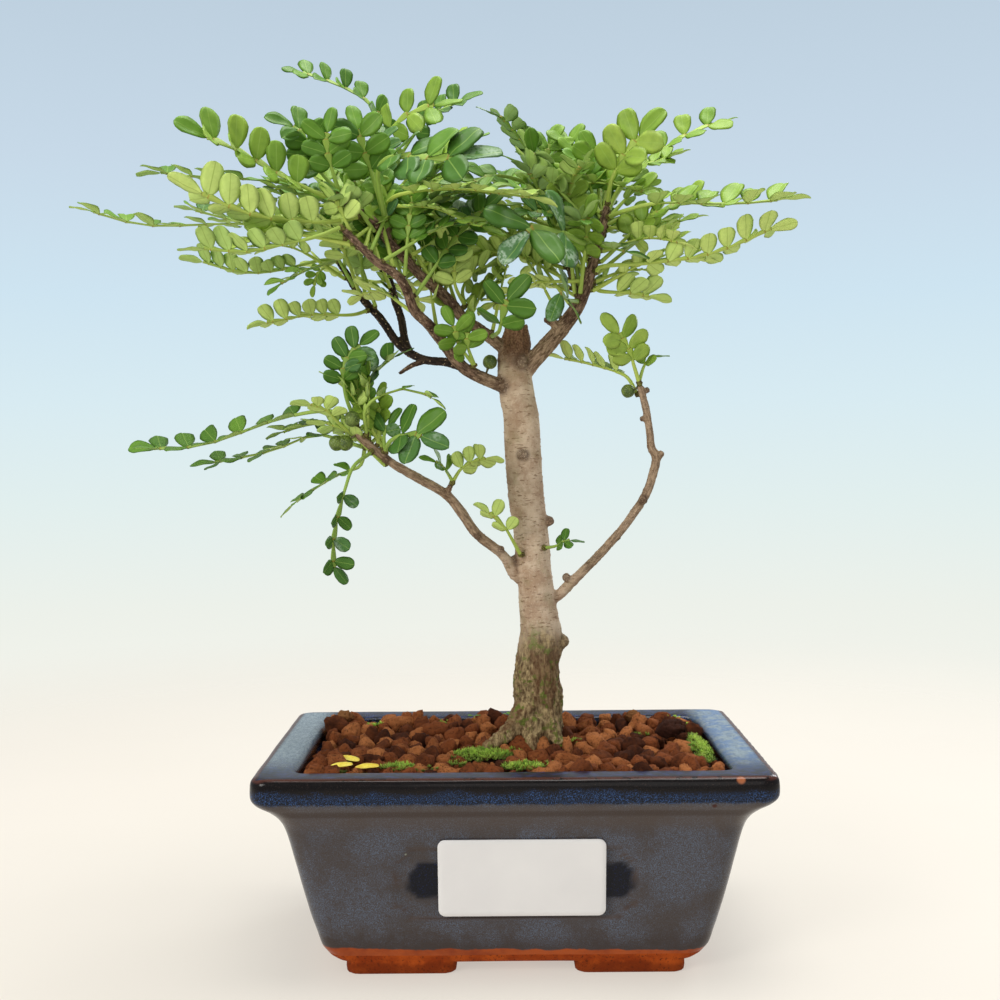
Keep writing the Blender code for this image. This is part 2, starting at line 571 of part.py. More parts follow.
def make_dressing(parts, helpers):
    """A wavy sheet closed down to the soil bed, cut to the pot's opening and round the trunk."""
    form = bmesh.new()
    bmesh.ops.create_grid(form, x_segments=DRESSING_CELLS[0], y_segments=DRESSING_CELLS[1], size=1)
    places = resting_places()
    for vert in form.verts:
        x, y = vert.co.x * DRESSING_SPAN[0], vert.co.y * DRESSING_SPAN[1]
        vert.co = (x, y, dressing_height(x, y, places))
    rim = [edge for edge in form.edges if edge.is_boundary]
    skirt = bmesh.ops.extrude_edge_only(form, edges=rim)["geom"]
    foot_edges = [item for item in skirt if isinstance(item, bmesh.types.BMEdge) and item.is_boundary]
    for edge in foot_edges:
        for vert in edge.verts:
            vert.co.z = BED_TOP + GAP
    bmesh.ops.contextual_create(form, geom=foot_edges)
    bmesh.ops.recalc_face_normals(form, faces=form.faces)
    dressing = add_object("clod_dressing", form, parts, "clod")
    rim_low = inner_ring(BED_TOP, 1.5 * GAP)
    rim_high = [(x, y, POT_HEIGHT + 10) for x, y, _ in rim_low]
    combine(dressing, as_helper(add_object("pot opening", loft([rim_low, rim_high]), helpers)), "INTERSECT")
    combine(dressing, make_socket(BED_TOP - 5, helpers), "DIFFERENCE")


def rounded_lump(size, rough, seed, rings=4, sides=8):
    """A low-sided lump of half sizes SIZE, pushed in and out by up to ROUGH of its radius."""
    form = bmesh.new()
    bmesh.ops.create_uvsphere(form, u_segments=sides, v_segments=rings, radius=1)
    for vert in form.verts:
        swell = 1 + rough * noise.noise(vert.co * 1.7 + Vector((seed, 0, 0)))
        vert.co = Vector(value * length * swell for value, length in zip(vert.co, size))
    return form


def seat(form, x, y, turn=0):
    """Turns the form and lowers it to just above the dressing at X, Y."""
    form.transform(Matrix.Rotation(math.radians(turn), 4, "Z"))
    low = min(vert.co.z for vert in form.verts)
    bmesh.ops.translate(form, vec=(x, y, DRESSING_TOP + GAP - low), verts=form.verts)


def make_things_on_soil(parts):
    for seed, (name, (middle, half, turn)) in enumerate(MOSS.items()):
        pad = rounded_lump((*half, MOSS_RISE), 0.15, seed, rings=6, sides=12)
        bmesh.ops.bisect_plane(
            pad, geom=pad.verts[:] + pad.edges[:] + pad.faces[:], plane_co=(0, 0, 0), plane_no=(0, 0, 1),
            clear_inner=True,
        )
        bmesh.ops.contextual_create(pad, geom=[edge for edge in pad.edges if edge.is_boundary])
        bmesh.ops.recalc_face_normals(pad, faces=pad.faces)
        seat(pad, *middle, turn)
        add_object(name, pad, parts, "moss")
    for seed, (name, (middle, size)) in enumerate(CLODS.items()):
        clod = rounded_lump(size, 0.3, seed + 7)
        seat(clod, *middle)
        add_object(name, clod, parts, "stone" if name == "pale_stone" else "clod")
    for name, (middle, turn) in FALLEN_LEAFLETS.items():
        leaflet = rounded_lump(FALLEN_SIZE, 0.0, 0)
        seat(leaflet, *middle, turn)
        add_object(name, leaflet, parts, "yellow_leaf")
    for name, middle in SEEDLINGS.items():
        make_seedling(name, middle, parts)


def make_seedling(name, middle, parts):
    """A stem that opens into two seed leaves, drawn as one flat Y and given thickness."""
    x, y = middle
    low = DRESSING_TOP + GAP
    high = low + SEEDLING_HEIGHT
    right = [(0.3, low), (0.3, high - 0.9), (2.0, high - 0.4), (2.4, high + 0.5), (1.4, high + 0.4)]
    left = [(-across, z) for across, z in reversed(right)]
    outline = right + [(0, high - 0.3)] + left
    form = bmesh.new()
    form.faces.new([form.verts.new((x + across, y, z)) for across, z in outline])
    form.normal_update()
    bmesh.ops.triangulate(form, faces=form.faces)
    seedling = add_object(name, form, parts, "leaf")
    solidify(seedling, 0.6, 0)


def make_tube(name, row, sides_level, helpers):
    """A limb: a curve that is as thick at each place as its row says, made a closed mesh."""
    curve = bpy.data.curves.new(name, "CURVE")
    curve.dimensions = "3D"
    curve.bevel_depth = MM
    curve.bevel_resolution = sides_level
    curve.use_fill_caps = True
    spline = curve.splines.new("POLY")
    spline.points.add(len(row) - 1)
    for point, (across, down, depth, radius) in zip(spline.points, row):
        point.co = (*(sight(across, down, depth) * MM), 1)
        point.radius = radius
    guide = bpy.data.objects.new(name + " guide", curve)
    helpers.objects.link(guide)
    bpy.context.view_layer.update()
    mesh = bpy.data.meshes.new_from_object(guide.evaluated_get(bpy.context.evaluated_depsgraph_get()))
    bpy.data.objects.remove(guide)
    form = bmesh.new()
    form.from_mesh(mesh)
    bmesh.ops.remove_doubles(form, verts=form.verts, dist=0.00001)
    bmesh.ops.recalc_face_normals(form, faces=form.faces)
    form.to_mesh(mesh)
    form.free()
    return bpy.data.objects.new(name, mesh)


def make_wood(parts, helpers):
    wood = make_tube("trunk_and_branches", TRUNK, 3, helpers)
    wood.data.materials.clear()
    wood.data.materials.append(material("bark"))
    parts.objects.link(wood)
    for name, row in LIMBS.items():
        limb = as_helper(make_tube(name, row, 1, helpers))
        helpers.objects.link(limb)
        combine(wood, limb, "UNION")
    for index, (across, down, depth, radius) in enumerate(KNOBS):
        knob = rounded_lump((radius, radius, radius * 1.2), 0.2, index)
        bmesh.ops.translate(knob, vec=sight(across, down, depth), verts=knob.verts)
        combine(wood, as_helper(add_object("knob", knob, helpers)), "UNION")


def limb_station(name, share):
    """Where a share of the way along a limb is: its middle there, its direction and its radius."""
    row = TRUNK if name == "trunk" else LIMBS[name]
    places = [sight(*values[:3]) for values in row]
    steps = [(b - a).length for a, b in zip(places, places[1:])]
    left = share * sum(steps)
    for index, step in enumerate(steps):
        if left <= step or index == len(steps) - 1:
            break
        left -= step
    part = min(left / step, 1)
    radius = row[index][3] + part * (row[index + 1][3] - row[index][3])
    along = (places[index + 1] - places[index]).normalized()
    return Station(places[index].lerp(places[index + 1], part), along, radius)


def bud_place(limb, share, leaves):
    """The middle of a bud that sits just clear of its limb, on the side that its leaves leave from."""
    station = limb_station(limb, share)
    if share == 1.0:
        return station.place + station.along * (GAP + BUD_RADIUS)
    targets = [sight(*leaf.route[0]) for leaf in leaves]
    middle = sum(targets, Vector()) / len(targets)
    away = middle - station.place
    away -= station.along * away.dot(station.along)
    return station.place + away.normalized() * (station.radius + GAP + BUD_RADIUS)


def smooth_route(points, count=48):
    """Evenly spaced places along a smooth curve through the points."""
    ends = [points[0] * 2 - points[1], *points, points[-1] * 2 - points[-2]]
    fine = []
    for before, start, end, after in zip(ends, ends[1:], ends[2:], ends[3:]):
        for step in range(24):
            t = step / 24
            fine.append(0.5 * (
                start * 2 + (end - before) * t + (before * 2 - start * 5 + end * 4 - after) * t**2
                + (start * 3 - before - end * 3 + after) * t**3
            ))
    fine.append(points[-1])
    lengths = [0.0]
    for a, b in zip(fine, fine[1:]):
        lengths.append(lengths[-1] + (b - a).length)
    places = []
    index = 0
    for number in range(count + 1):
        target = lengths[-1] * number / count
        while index < len(fine) - 2 and lengths[index + 1] < target:
            index += 1
        share = (target - lengths[index]) / max(lengths[index + 1] - lengths[index], 1e-9)
        places.append(fine[index].lerp(fine[index + 1], min(share, 1)))
    return places, lengths[-1]


def leaf_frame(places, length, distance, tilt):
    """Place, direction, side and upper side of a leaf's stalk at this distance from its bud."""
    position = min(distance / length, 1) * (len(places) - 1)
    index = min(int(position), len(places) - 2)
    place = places[index].lerp(places[index + 1], position - index)
    before = places[max(index - 1, 0)]
    after = places[min(index + 2, len(places) - 1)]
    along = (after - before).normalized()
    aim = Vector((0, -math.sin(math.radians(tilt)), math.cos(math.radians(tilt))))
    upper = (aim - along * aim.dot(along)).normalized()
    return place, along, upper.cross(along), upper


def leaf_plan(bud, leaf):
    """The stalk's route, its length, and where along it the pairs of leaflets and the end leaflet sit."""
    places, length = smooth_route([bud] + [sight(*point) for point in leaf.route])
    stalk_end = length - leaf.size * END_LEAFLET_ROOM
    bare = BARE_LONG if leaf.pairs > 4 else BARE_SHORT
    last = stalk_end - END_PAIR_BACK
    first = min(bare * length, last)
    if leaf.pairs == 1:
        return places, length, [last], stalk_end, leaf.size * 2
    spacing = (last - first) / (leaf.pairs - 1)
    return places, length, [first + spacing * i for i in range(leaf.pairs)], stalk_end, spacing


def add_leaflet(form, inner, outer, middle, along, side, upper, size, width):
    """A leaflet from two stalk corners: it leans forwards, rises a little and is widest near its end."""
    lean = math.cos(LEAFLET_FORWARD) * side + math.sin(LEAFLET_FORWARD) * along
    out = math.cos(LEAFLET_RISE) * lean + math.sin(LEAFLET_RISE) * upper
    across = upper.cross(out).normalized()
    if across.dot(along) < 0:
        across = -across
    tip = middle + out * size
    near = form.verts.new(tip - across * width * LEAFLET_TIP)
    far = form.verts.new(tip + across * width * LEAFLET_TIP)
    form.faces.new((inner, near, far, outer))


def make_leaf(name, bud, leaf, helpers):
    """One compound leaf as an open sheet with thickness: a stalk, pairs of leaflets and an end leaflet."""
    places, length, pairs, stalk_end, spacing = leaf_plan(bud, leaf)
    width = min(LEAFLET_WIDTH * leaf.size, LEAFLET_ROOM * spacing * math.cos(LEAFLET_FORWARD))
    form = bmesh.new()
    stations = [0.0]
    for distance in pairs:
        stations += [distance - LEAFLET_BASE, distance + LEAFLET_BASE]
    stations.append(stalk_end)
    edge_rows = []
    for distance in stations:
        place, along, side, upper = leaf_frame(places, length, distance, leaf.tilt)
        edge_rows.append([form.verts.new(place + side * STALK_HALF * way) for way in (1, -1)])
    for (left, right), (next_left, next_right) in zip(edge_rows, edge_rows[1:]):
        form.faces.new((left, right, next_right, next_left))
    for number, distance in enumerate(pairs):
        place, along, side, upper = leaf_frame(places, length, distance, leaf.tilt)
        grown = leaf.size * (0.8 + 0.2 * (number + 1) / leaf.pairs)
        for hand, way in enumerate((side, -side)):
            inner, outer = edge_rows[2 * number + 1][hand], edge_rows[2 * number + 2][hand]
            add_leaflet(form, inner, outer, place + way * STALK_HALF, along, way, upper, grown, width)
    place, along, side, upper = leaf_frame(places, length, stalk_end, leaf.tilt)
    half = min(width, END_LEAFLET_WIDTH * leaf.size) / 2
    tip = place + along * leaf.size
    left, right = edge_rows[-1]
    form.faces.new((left, right, form.verts.new(tip - side * half), form.verts.new(tip + side * half)))
    bmesh.ops.recalc_face_normals(form, faces=form.faces)
    sheet = as_helper(add_object(name, form, helpers))
    solidify(sheet, LEAF_THICK, 0)
    return sheet


def make_spray(name, limb, share, leaves, parts, helpers):
    """All leaves of one bud, joined where they leave it."""
    place = bud_place(limb, share, leaves)
    form = bmesh.new()
    bmesh.ops.create_icosphere(form, subdivisions=1, radius=BUD_RADIUS)
    bmesh.ops.translate(form, vec=place, verts=form.verts)
    spray = add_object(name, form, parts, "leaf")
    for index, leaf in enumerate(leaves):
        combine(spray, make_leaf(f"{name} {index}", place, leaf, helpers), "UNION", folds=True)


def make_fruit(name, parts, helpers):
    across, down, depth, radius, twin = FRUITS[name]
    place = sight(across, down, depth)
    fruit = None
    for shift in ([0] if twin == 0 else [-twin / 2, twin / 2]):
        ball = rounded_lump((radius, radius, radius), 0.06, across)
        bmesh.ops.translate(ball, vec=place + Vector((shift, 0, 0)), verts=ball.verts)
        if fruit is None:
            fruit = add_object(name, ball, parts, "fruit")
        else:
            combine(fruit, as_helper(add_object(name + " twin", ball, helpers)), "UNION")


def evaluated_bounds(objects):
    graph = bpy.context.evaluated_depsgraph_get()
    low, high = Vector((1e9,) * 3), Vector((-1e9,) * 3)
    for obj in objects:
        mesh = obj.evaluated_get(graph).to_mesh()
        for vert in mesh.vertices:
            low = Vector(map(min, low, vert.co))
            high = Vector(map(max, high, vert.co))
        obj.evaluated_get(graph).to_mesh_clear()
    return low, high


def stand_on_middle(parts, helpers):
    """Moves everything by one empty, so that the origin is under the middle of the whole object."""
    bpy.context.view_layer.update()
    low, high = evaluated_bounds(parts.objects)
    holder = bpy.data.objects.new("bonsai", None)
    holder.location = (-(low.x + high.x) / 2, -(low.y + high.y) / 2, -low.z)
    helpers.objects.link(holder)
    for obj in list(parts.objects) + list(helpers.objects):
        if obj is not holder:
            obj.parent = holder
    print("size in mm:", [round(value / MM, 1) for value in high - low])
    print("pot's middle in mm:", [round(value / MM, 2) for value in holder.location])


def main():
    clear_scene()
    parts = new_collection("chinese_pepper_bonsai")
    helpers = new_collection("cutters and guides")
    make_pot(parts, helpers)
    make_label(parts)
    make_screen("drain_screen_left", -DRAIN_REACH, parts)
    make_screen("drain_screen_right", DRAIN_REACH, parts)
    make_soil_bed(parts, helpers)
    make_dressing(parts, helpers)
    make_things_on_soil(parts)
    make_wood(parts, helpers)
    for name in FRUITS:
        make_fruit(name, parts, helpers)
    for name, (limb, share, leaves) in SPRAYS.items():
        make_spray(name, limb, share, leaves, parts, helpers)
    stand_on_middle(parts, helpers)


main()
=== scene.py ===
# %% [markdown]
# # A Chinese pepper bonsai in a glazed pot
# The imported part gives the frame: where the pot, the trunk and every spray of leaves are, at their real
# size. This script gives them their surfaces. Each step says what a piece is on the real tree, how it
# could be made in Blender, and why one way was picked.

# %% Load the frame
import math
import random
from collections import namedtuple

import bmesh
import bpy
from mathutils import Matrix, Quaternion, Vector, kdtree, noise


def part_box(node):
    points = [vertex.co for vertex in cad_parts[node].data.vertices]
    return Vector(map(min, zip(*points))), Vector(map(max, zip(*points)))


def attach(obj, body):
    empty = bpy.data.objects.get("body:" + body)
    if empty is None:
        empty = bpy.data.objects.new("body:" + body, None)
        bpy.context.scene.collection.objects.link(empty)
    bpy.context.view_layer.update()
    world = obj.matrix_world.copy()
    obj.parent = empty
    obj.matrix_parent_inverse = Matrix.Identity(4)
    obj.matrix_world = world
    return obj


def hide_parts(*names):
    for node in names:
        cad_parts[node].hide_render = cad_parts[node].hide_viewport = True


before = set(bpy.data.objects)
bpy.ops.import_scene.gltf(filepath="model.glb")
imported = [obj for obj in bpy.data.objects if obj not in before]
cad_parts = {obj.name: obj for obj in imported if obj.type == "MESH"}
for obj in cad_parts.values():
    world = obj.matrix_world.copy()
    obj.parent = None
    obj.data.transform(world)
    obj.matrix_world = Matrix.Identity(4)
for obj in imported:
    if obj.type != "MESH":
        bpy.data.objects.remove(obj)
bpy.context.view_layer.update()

# %% [markdown]
# ## One ruler for the whole tree
# A bonsai is small, so millimetres are easier to think in than metres. Everything is laid out in
# millimetres round the middle of the pot's foot, and one matrix carries a finished mesh into the frame.

# %% Millimetres round the pot
MM = 0.001
GAP = 0.3
pot_low, pot_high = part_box("pot")
POT_MIDDLE = Vector(((pot_low.x + pot_high.x) / 2, (pot_low.y + pot_high.y) / 2, 0))
TO_FRAME = Matrix.Translation(POT_MIDDLE) @ Matrix.Scale(MM, 4)
HALF_W = (pot_high.x - pot_low.x) / 2 / MM
HALF_D = (pot_high.y - pot_low.y) / 2 / MM
POT_HEIGHT = pot_high.z / MM
print(f"pot {2 * HALF_W:.1f} x {2 * HALF_D:.1f} x {POT_HEIGHT:.1f} mm")

# %% [markdown]
# ## The eye of the front view
# The places of limbs and leaves were read from the front, so one function turns a place in that view and
# a depth into a point. The camera stands at the same eye, and so the render lines up with the view.

# %% The front view and the camera
FRAME_MIDDLE = 500.0
FRAME_LENS = 1250.0
SENSOR = 36.0
EYE = Vector((-3.6, -400.0, 155.0))
EYE_DOWN = math.radians(2.28)
EYE_ROLL = math.radians(-0.43)
SIDEWAYS = Vector((1, 0, 0))
FORWARD = Vector((0, math.cos(EYE_DOWN), -math.sin(EYE_DOWN)))
LEVEL_UP = SIDEWAYS.cross(FORWARD)
RIGHT = math.cos(EYE_ROLL) * SIDEWAYS + math.sin(EYE_ROLL) * LEVEL_UP
UP = math.cos(EYE_ROLL) * LEVEL_UP - math.sin(EYE_ROLL) * SIDEWAYS


def sight(across, down, depth):
    """The point in millimetres seen at this place of the front view, DEPTH behind the pot's middle."""
    ray = FORWARD + RIGHT * (across - FRAME_MIDDLE) / FRAME_LENS + UP * (FRAME_MIDDLE - down) / FRAME_LENS
    return EYE + ray * ((depth - EYE.y) / ray.y)


def into_scene(item):
    bpy.context.scene.collection.objects.link(item)
    return item


lens = bpy.data.cameras.new("front view")
lens.sensor_width = SENSOR
lens.lens = FRAME_LENS / (2 * FRAME_MIDDLE) * SENSOR
camera = into_scene(bpy.data.objects.new("front view", lens))
turn = Matrix((RIGHT, UP, -FORWARD)).transposed().to_4x4()
camera.matrix_world = Matrix.Translation(TO_FRAME @ EYE) @ turn
bpy.context.scene.camera = camera
print(f"lens {lens.lens:.1f} mm, eye {tuple(round(v, 3) for v in camera.location)}")

# %% [markdown]
# ## Small helpers for node trees
# Materials and Geometry Nodes are both trees of nodes. One helper adds a node, gives it its settings and
# then sets or links its inputs, so that each tree below reads from top to bottom like a recipe.


# %% Node helpers
def add_node(tree, kind, inputs=None, **settings):
    """A new node. INPUTS maps a socket's name or number to a value or to another node's socket."""
    node = tree.nodes.new(kind)
    for name, value in settings.items():
        setattr(node, name, value)
    for key, value in (inputs or {}).items():
        sockets = [node.inputs[key]] if isinstance(key, int) else [
            socket for socket in node.inputs if socket.name == key and socket.enabled
        ]
        if isinstance(value, bpy.types.NodeSocket):
            tree.links.new(value, sockets[0])
        else:
            sockets[0].default_value = value
    return node


def set_stops(ramp, stops):
    """Colours along a ramp, each at its place from 0 to 1."""
    elements = ramp.color_ramp.elements
    while len(elements) < len(stops):
        elements.new(0.5)
    for element, (position, colour) in zip(elements, stops):
        element.position = position
        element.color = (*paint(*colour), 1)
    return ramp.outputs[0]


def paint(red, green, blue):
    """A colour as it is named on a screen, 0 to 255, in the linear light that Blender counts in."""
    return tuple(
        value / 255 / 12.92 if value < 11 else ((value / 255 + 0.055) / 1.055) ** 2.4
        for value in (red, green, blue)
    )


class Finish:
    """A material under construction. Its pattern is laid out in millimetres round the pot's middle."""

    def __init__(self, name, roughness, specular=0.5, **values):
        self.material = bpy.data.materials.new(name)
        self.material.use_nodes = True
        self.tree = self.material.node_tree
        self.shader = self.tree.nodes["Principled BSDF"]
        self.shader.inputs["Roughness"].default_value = roughness
        self.shader.inputs["Specular IOR Level"].default_value = specular
        for key, value in values.items():
            self.shader.inputs[key.replace("_", " ")].default_value = value
        place = self.add("ShaderNodeTexCoord").outputs["Object"]
        middle = tuple(-value / MM for value in POT_MIDDLE)
        self.place = self.add(
            "ShaderNodeMapping", {"Vector": place, "Location": middle, "Scale": (1 / MM,) * 3}
        ).outputs[0]

    def add(self, kind, inputs=None, **settings):
        return add_node(self.tree, kind, inputs, **settings)

    def attribute(self, name, part="Fac"):
        return self.add("ShaderNodeAttribute", attribute_name=name).outputs[part]

    def axes(self):
        """The place's three numbers in millimetres: across, back and up."""
        return self.add("ShaderNodeSeparateXYZ", {0: self.place}).outputs

    def height(self):
        return self.axes()["Z"]

    def chart(self):
        """Where on its own shape a point is, as the shape's three axes."""
        return self.add("ShaderNodeSeparateXYZ", {0: self.attribute("chart", "Vector")}).outputs

    def grain(self, scale, detail=3.0, rough=0.6, stretch=(1, 1, 1), place=None, warp=0.0):
        """Cloudy noise from 0 to 1, with SCALE patches in a millimetre."""
        spread = self.add("ShaderNodeMapping", {"Vector": place or self.place, "Scale": stretch})
        return self.add("ShaderNodeTexNoise", {
            "Vector": spread.outputs[0], "Scale": scale, "Detail": detail, "Roughness": rough,
            "Distortion": warp,
        }).outputs["Fac"]

    def cells(self, scale, stretch=(1, 1, 1), place=None):
        """Distance to the nearest of many scattered points."""
        spread = self.add("ShaderNodeMapping", {"Vector": place or self.place, "Scale": stretch})
        points = self.add("ShaderNodeTexVoronoi", {"Vector": spread.outputs[0], "Scale": scale})
        return points.outputs["Distance"]

    def step(self, value, low, high):
        """0 below LOW, 1 above HIGH and smooth between. LOW may be the larger."""
        return self.add("ShaderNodeMapRange", {
            "Value": value, "From Min": low, "From Max": high,
        }, interpolation_type="SMOOTHSTEP").outputs["Result"]

    def calc(self, operation, first, second=0.0):
        return self.add("ShaderNodeMath", {0: first, 1: second}, operation=operation).outputs[0]

    def both(self, first, second):
        return self.calc("MULTIPLY", first, second)

    def blend(self, share, first, second):
        """From the first colour to the second, by SHARE. A colour is a socket or red, green and blue."""
        colours = [
            value if isinstance(value, bpy.types.NodeSocket) else (*paint(*value), 1)
            for value in (first, second)
        ]
        node = self.add("ShaderNodeMix", {0: share, 6: colours[0], 7: colours[1]}, data_type="RGBA")
        return node.outputs[2]

    def over(self, base, share, strength, colour):
        """The base with a colour laid over it, where SHARE is high and as strongly as STRENGTH says."""
        return self.blend(self.both(share, strength), base, colour)

    def colour(self, value):
        self.tree.links.new(value, self.shader.inputs["Base Color"])

    def rough(self, value, low, high):
        """Roughness that runs from LOW to HIGH as the value runs from 0 to 1."""
        spread = self.add("ShaderNodeMapRange", {"Value": value, "To Min": low, "To Max": high})
        self.tree.links.new(spread.outputs["Result"], self.shader.inputs["Roughness"])

    def relief(self, value, depth, strength=1.0):
        """Bumps of this depth in millimetres."""
        bump = self.add("ShaderNodeBump", {"Height": value, "Distance": depth * MM, "Strength": strength})
        self.tree.links.new(bump.outputs[0], self.shader.inputs["Normal"])


print("helpers ready")

# %% [markdown]
# ## Small helpers for meshes
# A mesh is built in millimetres with bmesh. One helper turns it into an object of the frame: it sits at
# the origin, with its place in its mesh, so that Object coordinates mean the same on every piece.


# %% Mesh helpers
def finished_piece(name, mesh, node=None):
    """A piece of the tree from a mesh in the frame. It rides with the part and may stand for a CAD node."""
    mesh.name = name
    mesh.shade_smooth()
    piece = into_scene(bpy.data.objects.new(name, mesh))
    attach(piece, "root")
    if node:
        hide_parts(node)
    return piece


def mesh_of(form, finishes=()):
    """A mesh in millimetres from a bmesh, with one material slot for each finish."""
    mesh = bpy.data.meshes.new("form")
    form.to_mesh(mesh)
    form.free()
    for finish in finishes:
        mesh.materials.append(finish.material)
    return mesh


def new_attributes(mesh, kinds):
    """The values of new attributes on the mesh's points, one for each name."""
    for name, kind in kinds.items():
        mesh.attributes.new(name, kind, "POINT")
    return [mesh.attributes[name].data for name in kinds]


def into_frame(mesh):
    mesh.transform(TO_FRAME)
    return mesh


def evaluated(obj):
    """The mesh that an object's modifiers make. The object itself is removed."""
    if obj.name not in bpy.context.scene.collection.objects:
        into_scene(obj)
    graph = bpy.context.evaluated_depsgraph_get()
    mesh = bpy.data.meshes.new_from_object(obj.evaluated_get(graph))
    bpy.data.objects.remove(obj)
    return mesh


def loft(form, rings, capped=True, finish=0):
    """Faces through rings of places, each anticlockwise seen from where the rings go."""
    rows = [[form.verts.new(place) for place in ring] for ring in rings]
    count = len(rows[0])
    faces = []
    for low, high in zip(rows, rows[1:]):
        for i in range(count):
            j = (i + 1) % count
            faces.append(form.faces.new((low[i], low[j], high[j], high[i])))
    if capped:
        faces.append(form.faces.new(rows[0][::-1]))
        faces.append(form.faces.new(rows[-1]))
    for face in faces:
        face.material_index = finish
    return faces


print("mesh helpers ready")


# %% Curves, easing and noise
def smooth_row(row, spacing):
    """Evenly spaced values along a smooth curve through the rows of numbers. Three of them are a place."""
    points = [Vector(values) for values in row]
    ends = [points[0] * 2 - points[1], *points, points[-1] * 2 - points[-2]]
    fine = []
    for before, start, end, after in zip(ends, ends[1:], ends[2:], ends[3:]):
        for step in range(24):
            t = step / 24
            fine.append(0.5 * (
                start * 2 + (end - before) * t + (before * 2 - start * 5 + end * 4 - after) * t**2
                + (start * 3 - before - end * 3 + after) * t**3
            ))
    fine.append(points[-1])
    lengths = [0.0]
    for a, b in zip(fine, fine[1:]):
        lengths.append(lengths[-1] + (b - a).length)
    count = max(2, round(lengths[-1] / spacing))
    places = []
    index = 0
    for number in range(count + 1):
        target = lengths[-1] * number / count
        while index < len(fine) - 2 and lengths[index + 1] < target:
            index += 1
        share = (target - lengths[index]) / max(lengths[index + 1] - lengths[index], 1e-9)
        places.append(fine[index].lerp(fine[index + 1], min(share, 1)))
    return places


def ease(value, low=0.0, high=1.0):
    """0 below LOW, 1 above HIGH and smooth between."""
    share = min(max((value - low) / (high - low), 0.0), 1.0)
    return share * share * (3 - 2 * share)


def wave(place, size, seed=0.0):
    """Smooth noise from about -1 to 1, with hills about SIZE millimetres apart."""
    return noise.noise(Vector(place) / size + Vector((seed, 7.3 * seed, 0)))


print("halfway up an ease:", ease(0.5))

# %% [markdown]
# ## The studio
# The tree stands on a plain pale floor in soft light. The floor is a disc that fades out at its edge, so
# that it melts into the backdrop from every side, and the backdrop is the world's own colour, from cream
# below to pale blue above. Only the eye sees that gradient: the light itself is one even, cool white. The
# floor glows a little, like a light table, which keeps the pot's shadow soft.

# %% Backdrop, floor and lights
BACKDROP = [
    (-0.42, (251, 246, 236)), (-0.20, (245, 244, 235)), (-0.12, (237, 241, 234)),
    (-0.04, (226, 239, 238)), (0.04, (216, 235, 242)), (0.12, (206, 228, 241)),
    (0.22, (199, 217, 232)), (0.34, (189, 207, 222)),
]
LIGHT_LEVEL = 0.52
FLOOR_GLOW = 0.5
FLOOR_SOLID = 230.0
FLOOR_EDGE = 700.0
LAMPS = {
    "sky_panel": ((60.0, 40.0, 900.0), 620.0, 7.5, (1.0, 0.985, 0.96)),
    "front_left_panel": ((-620.0, -620.0, 520.0), 420.0, 4.2, (1.0, 0.97, 0.93)),
    "back_right_panel": ((520.0, 620.0, 460.0), 380.0, 2.2, (0.93, 0.97, 1.0)),
    "front_panel": ((120.0, -760.0, 260.0), 460.0, 0.45, (1.0, 0.98, 0.95)),
}


def make_backdrop():
    world = bpy.data.worlds.new("studio")
    world.use_nodes = True
    bpy.context.scene.world = world
    tree = world.node_tree
    tree.nodes.clear()
    way = add_node(tree, "ShaderNodeTexCoord").outputs["Generated"]
    rise = add_node(tree, "ShaderNodeSeparateXYZ", {0: way}).outputs["Z"]
    low, high = BACKDROP[0][0], BACKDROP[-1][0]
    share = add_node(tree, "ShaderNodeMapRange", {"Value": rise, "From Min": low, "From Max": high})
    ramp = add_node(tree, "ShaderNodeValToRGB", {0: share.outputs["Result"]})
    sky = set_stops(ramp, [((level - low) / (high - low), colour) for level, colour in BACKDROP])
    seen = add_node(tree, "ShaderNodeBackground", {"Color": sky, "Strength": 1.0})
    even = add_node(tree, "ShaderNodeBackground", {"Color": (0.93, 0.97, 1.0, 1), "Strength": LIGHT_LEVEL})
    eye_ray = add_node(tree, "ShaderNodeLightPath").outputs["Is Camera Ray"]
    both = add_node(tree, "ShaderNodeMixShader", {0: eye_ray, 1: even.outputs[0], 2: seen.outputs[0]})
    add_node(tree, "ShaderNodeOutputWorld", {0: both.outputs[0]})


def make_floor():
    glow = (*paint(255, 248, 238), 1)
    finish = Finish("pale_floor", 0.75, 0.2, Emission_Color=glow, Emission_Strength=FLOOR_GLOW)
    finish.colour(finish.blend(finish.grain(0.01, 2), (149, 145, 136), (153, 149, 141)))
    away = finish.add("ShaderNodeVectorMath", {0: finish.place}, operation="LENGTH").outputs["Value"]
    finish.tree.links.new(finish.step(away, FLOOR_EDGE, FLOOR_SOLID), finish.shader.inputs["Alpha"])
    form = bmesh.new()
    bmesh.ops.create_circle(form, cap_ends=True, segments=96, radius=FLOOR_EDGE + 20)
    floor = into_scene(bpy.data.objects.new("floor", into_frame(mesh_of(form, [finish]))))


def make_lamps():
    for name, (place, size, power, colour) in LAMPS.items():
        lamp = bpy.data.lights.new(name, "AREA")
        lamp.shape = "DISK"
        lamp.size = size * MM
        lamp.energy = power
        lamp.color = colour
        holder = into_scene(bpy.data.objects.new(name, lamp))
        holder.location = TO_FRAME @ Vector(place)
        aim = TO_FRAME @ Vector((0, 0, 140)) - holder.location
        holder.rotation_mode = "QUATERNION"
        holder.rotation_quaternion = aim.to_track_quat("-Z", "Y")


bpy.context.scene.view_settings.view_transform = "Standard"
make_backdrop()
make_floor()
make_lamps()
print("studio with", len(LAMPS), "lamps")

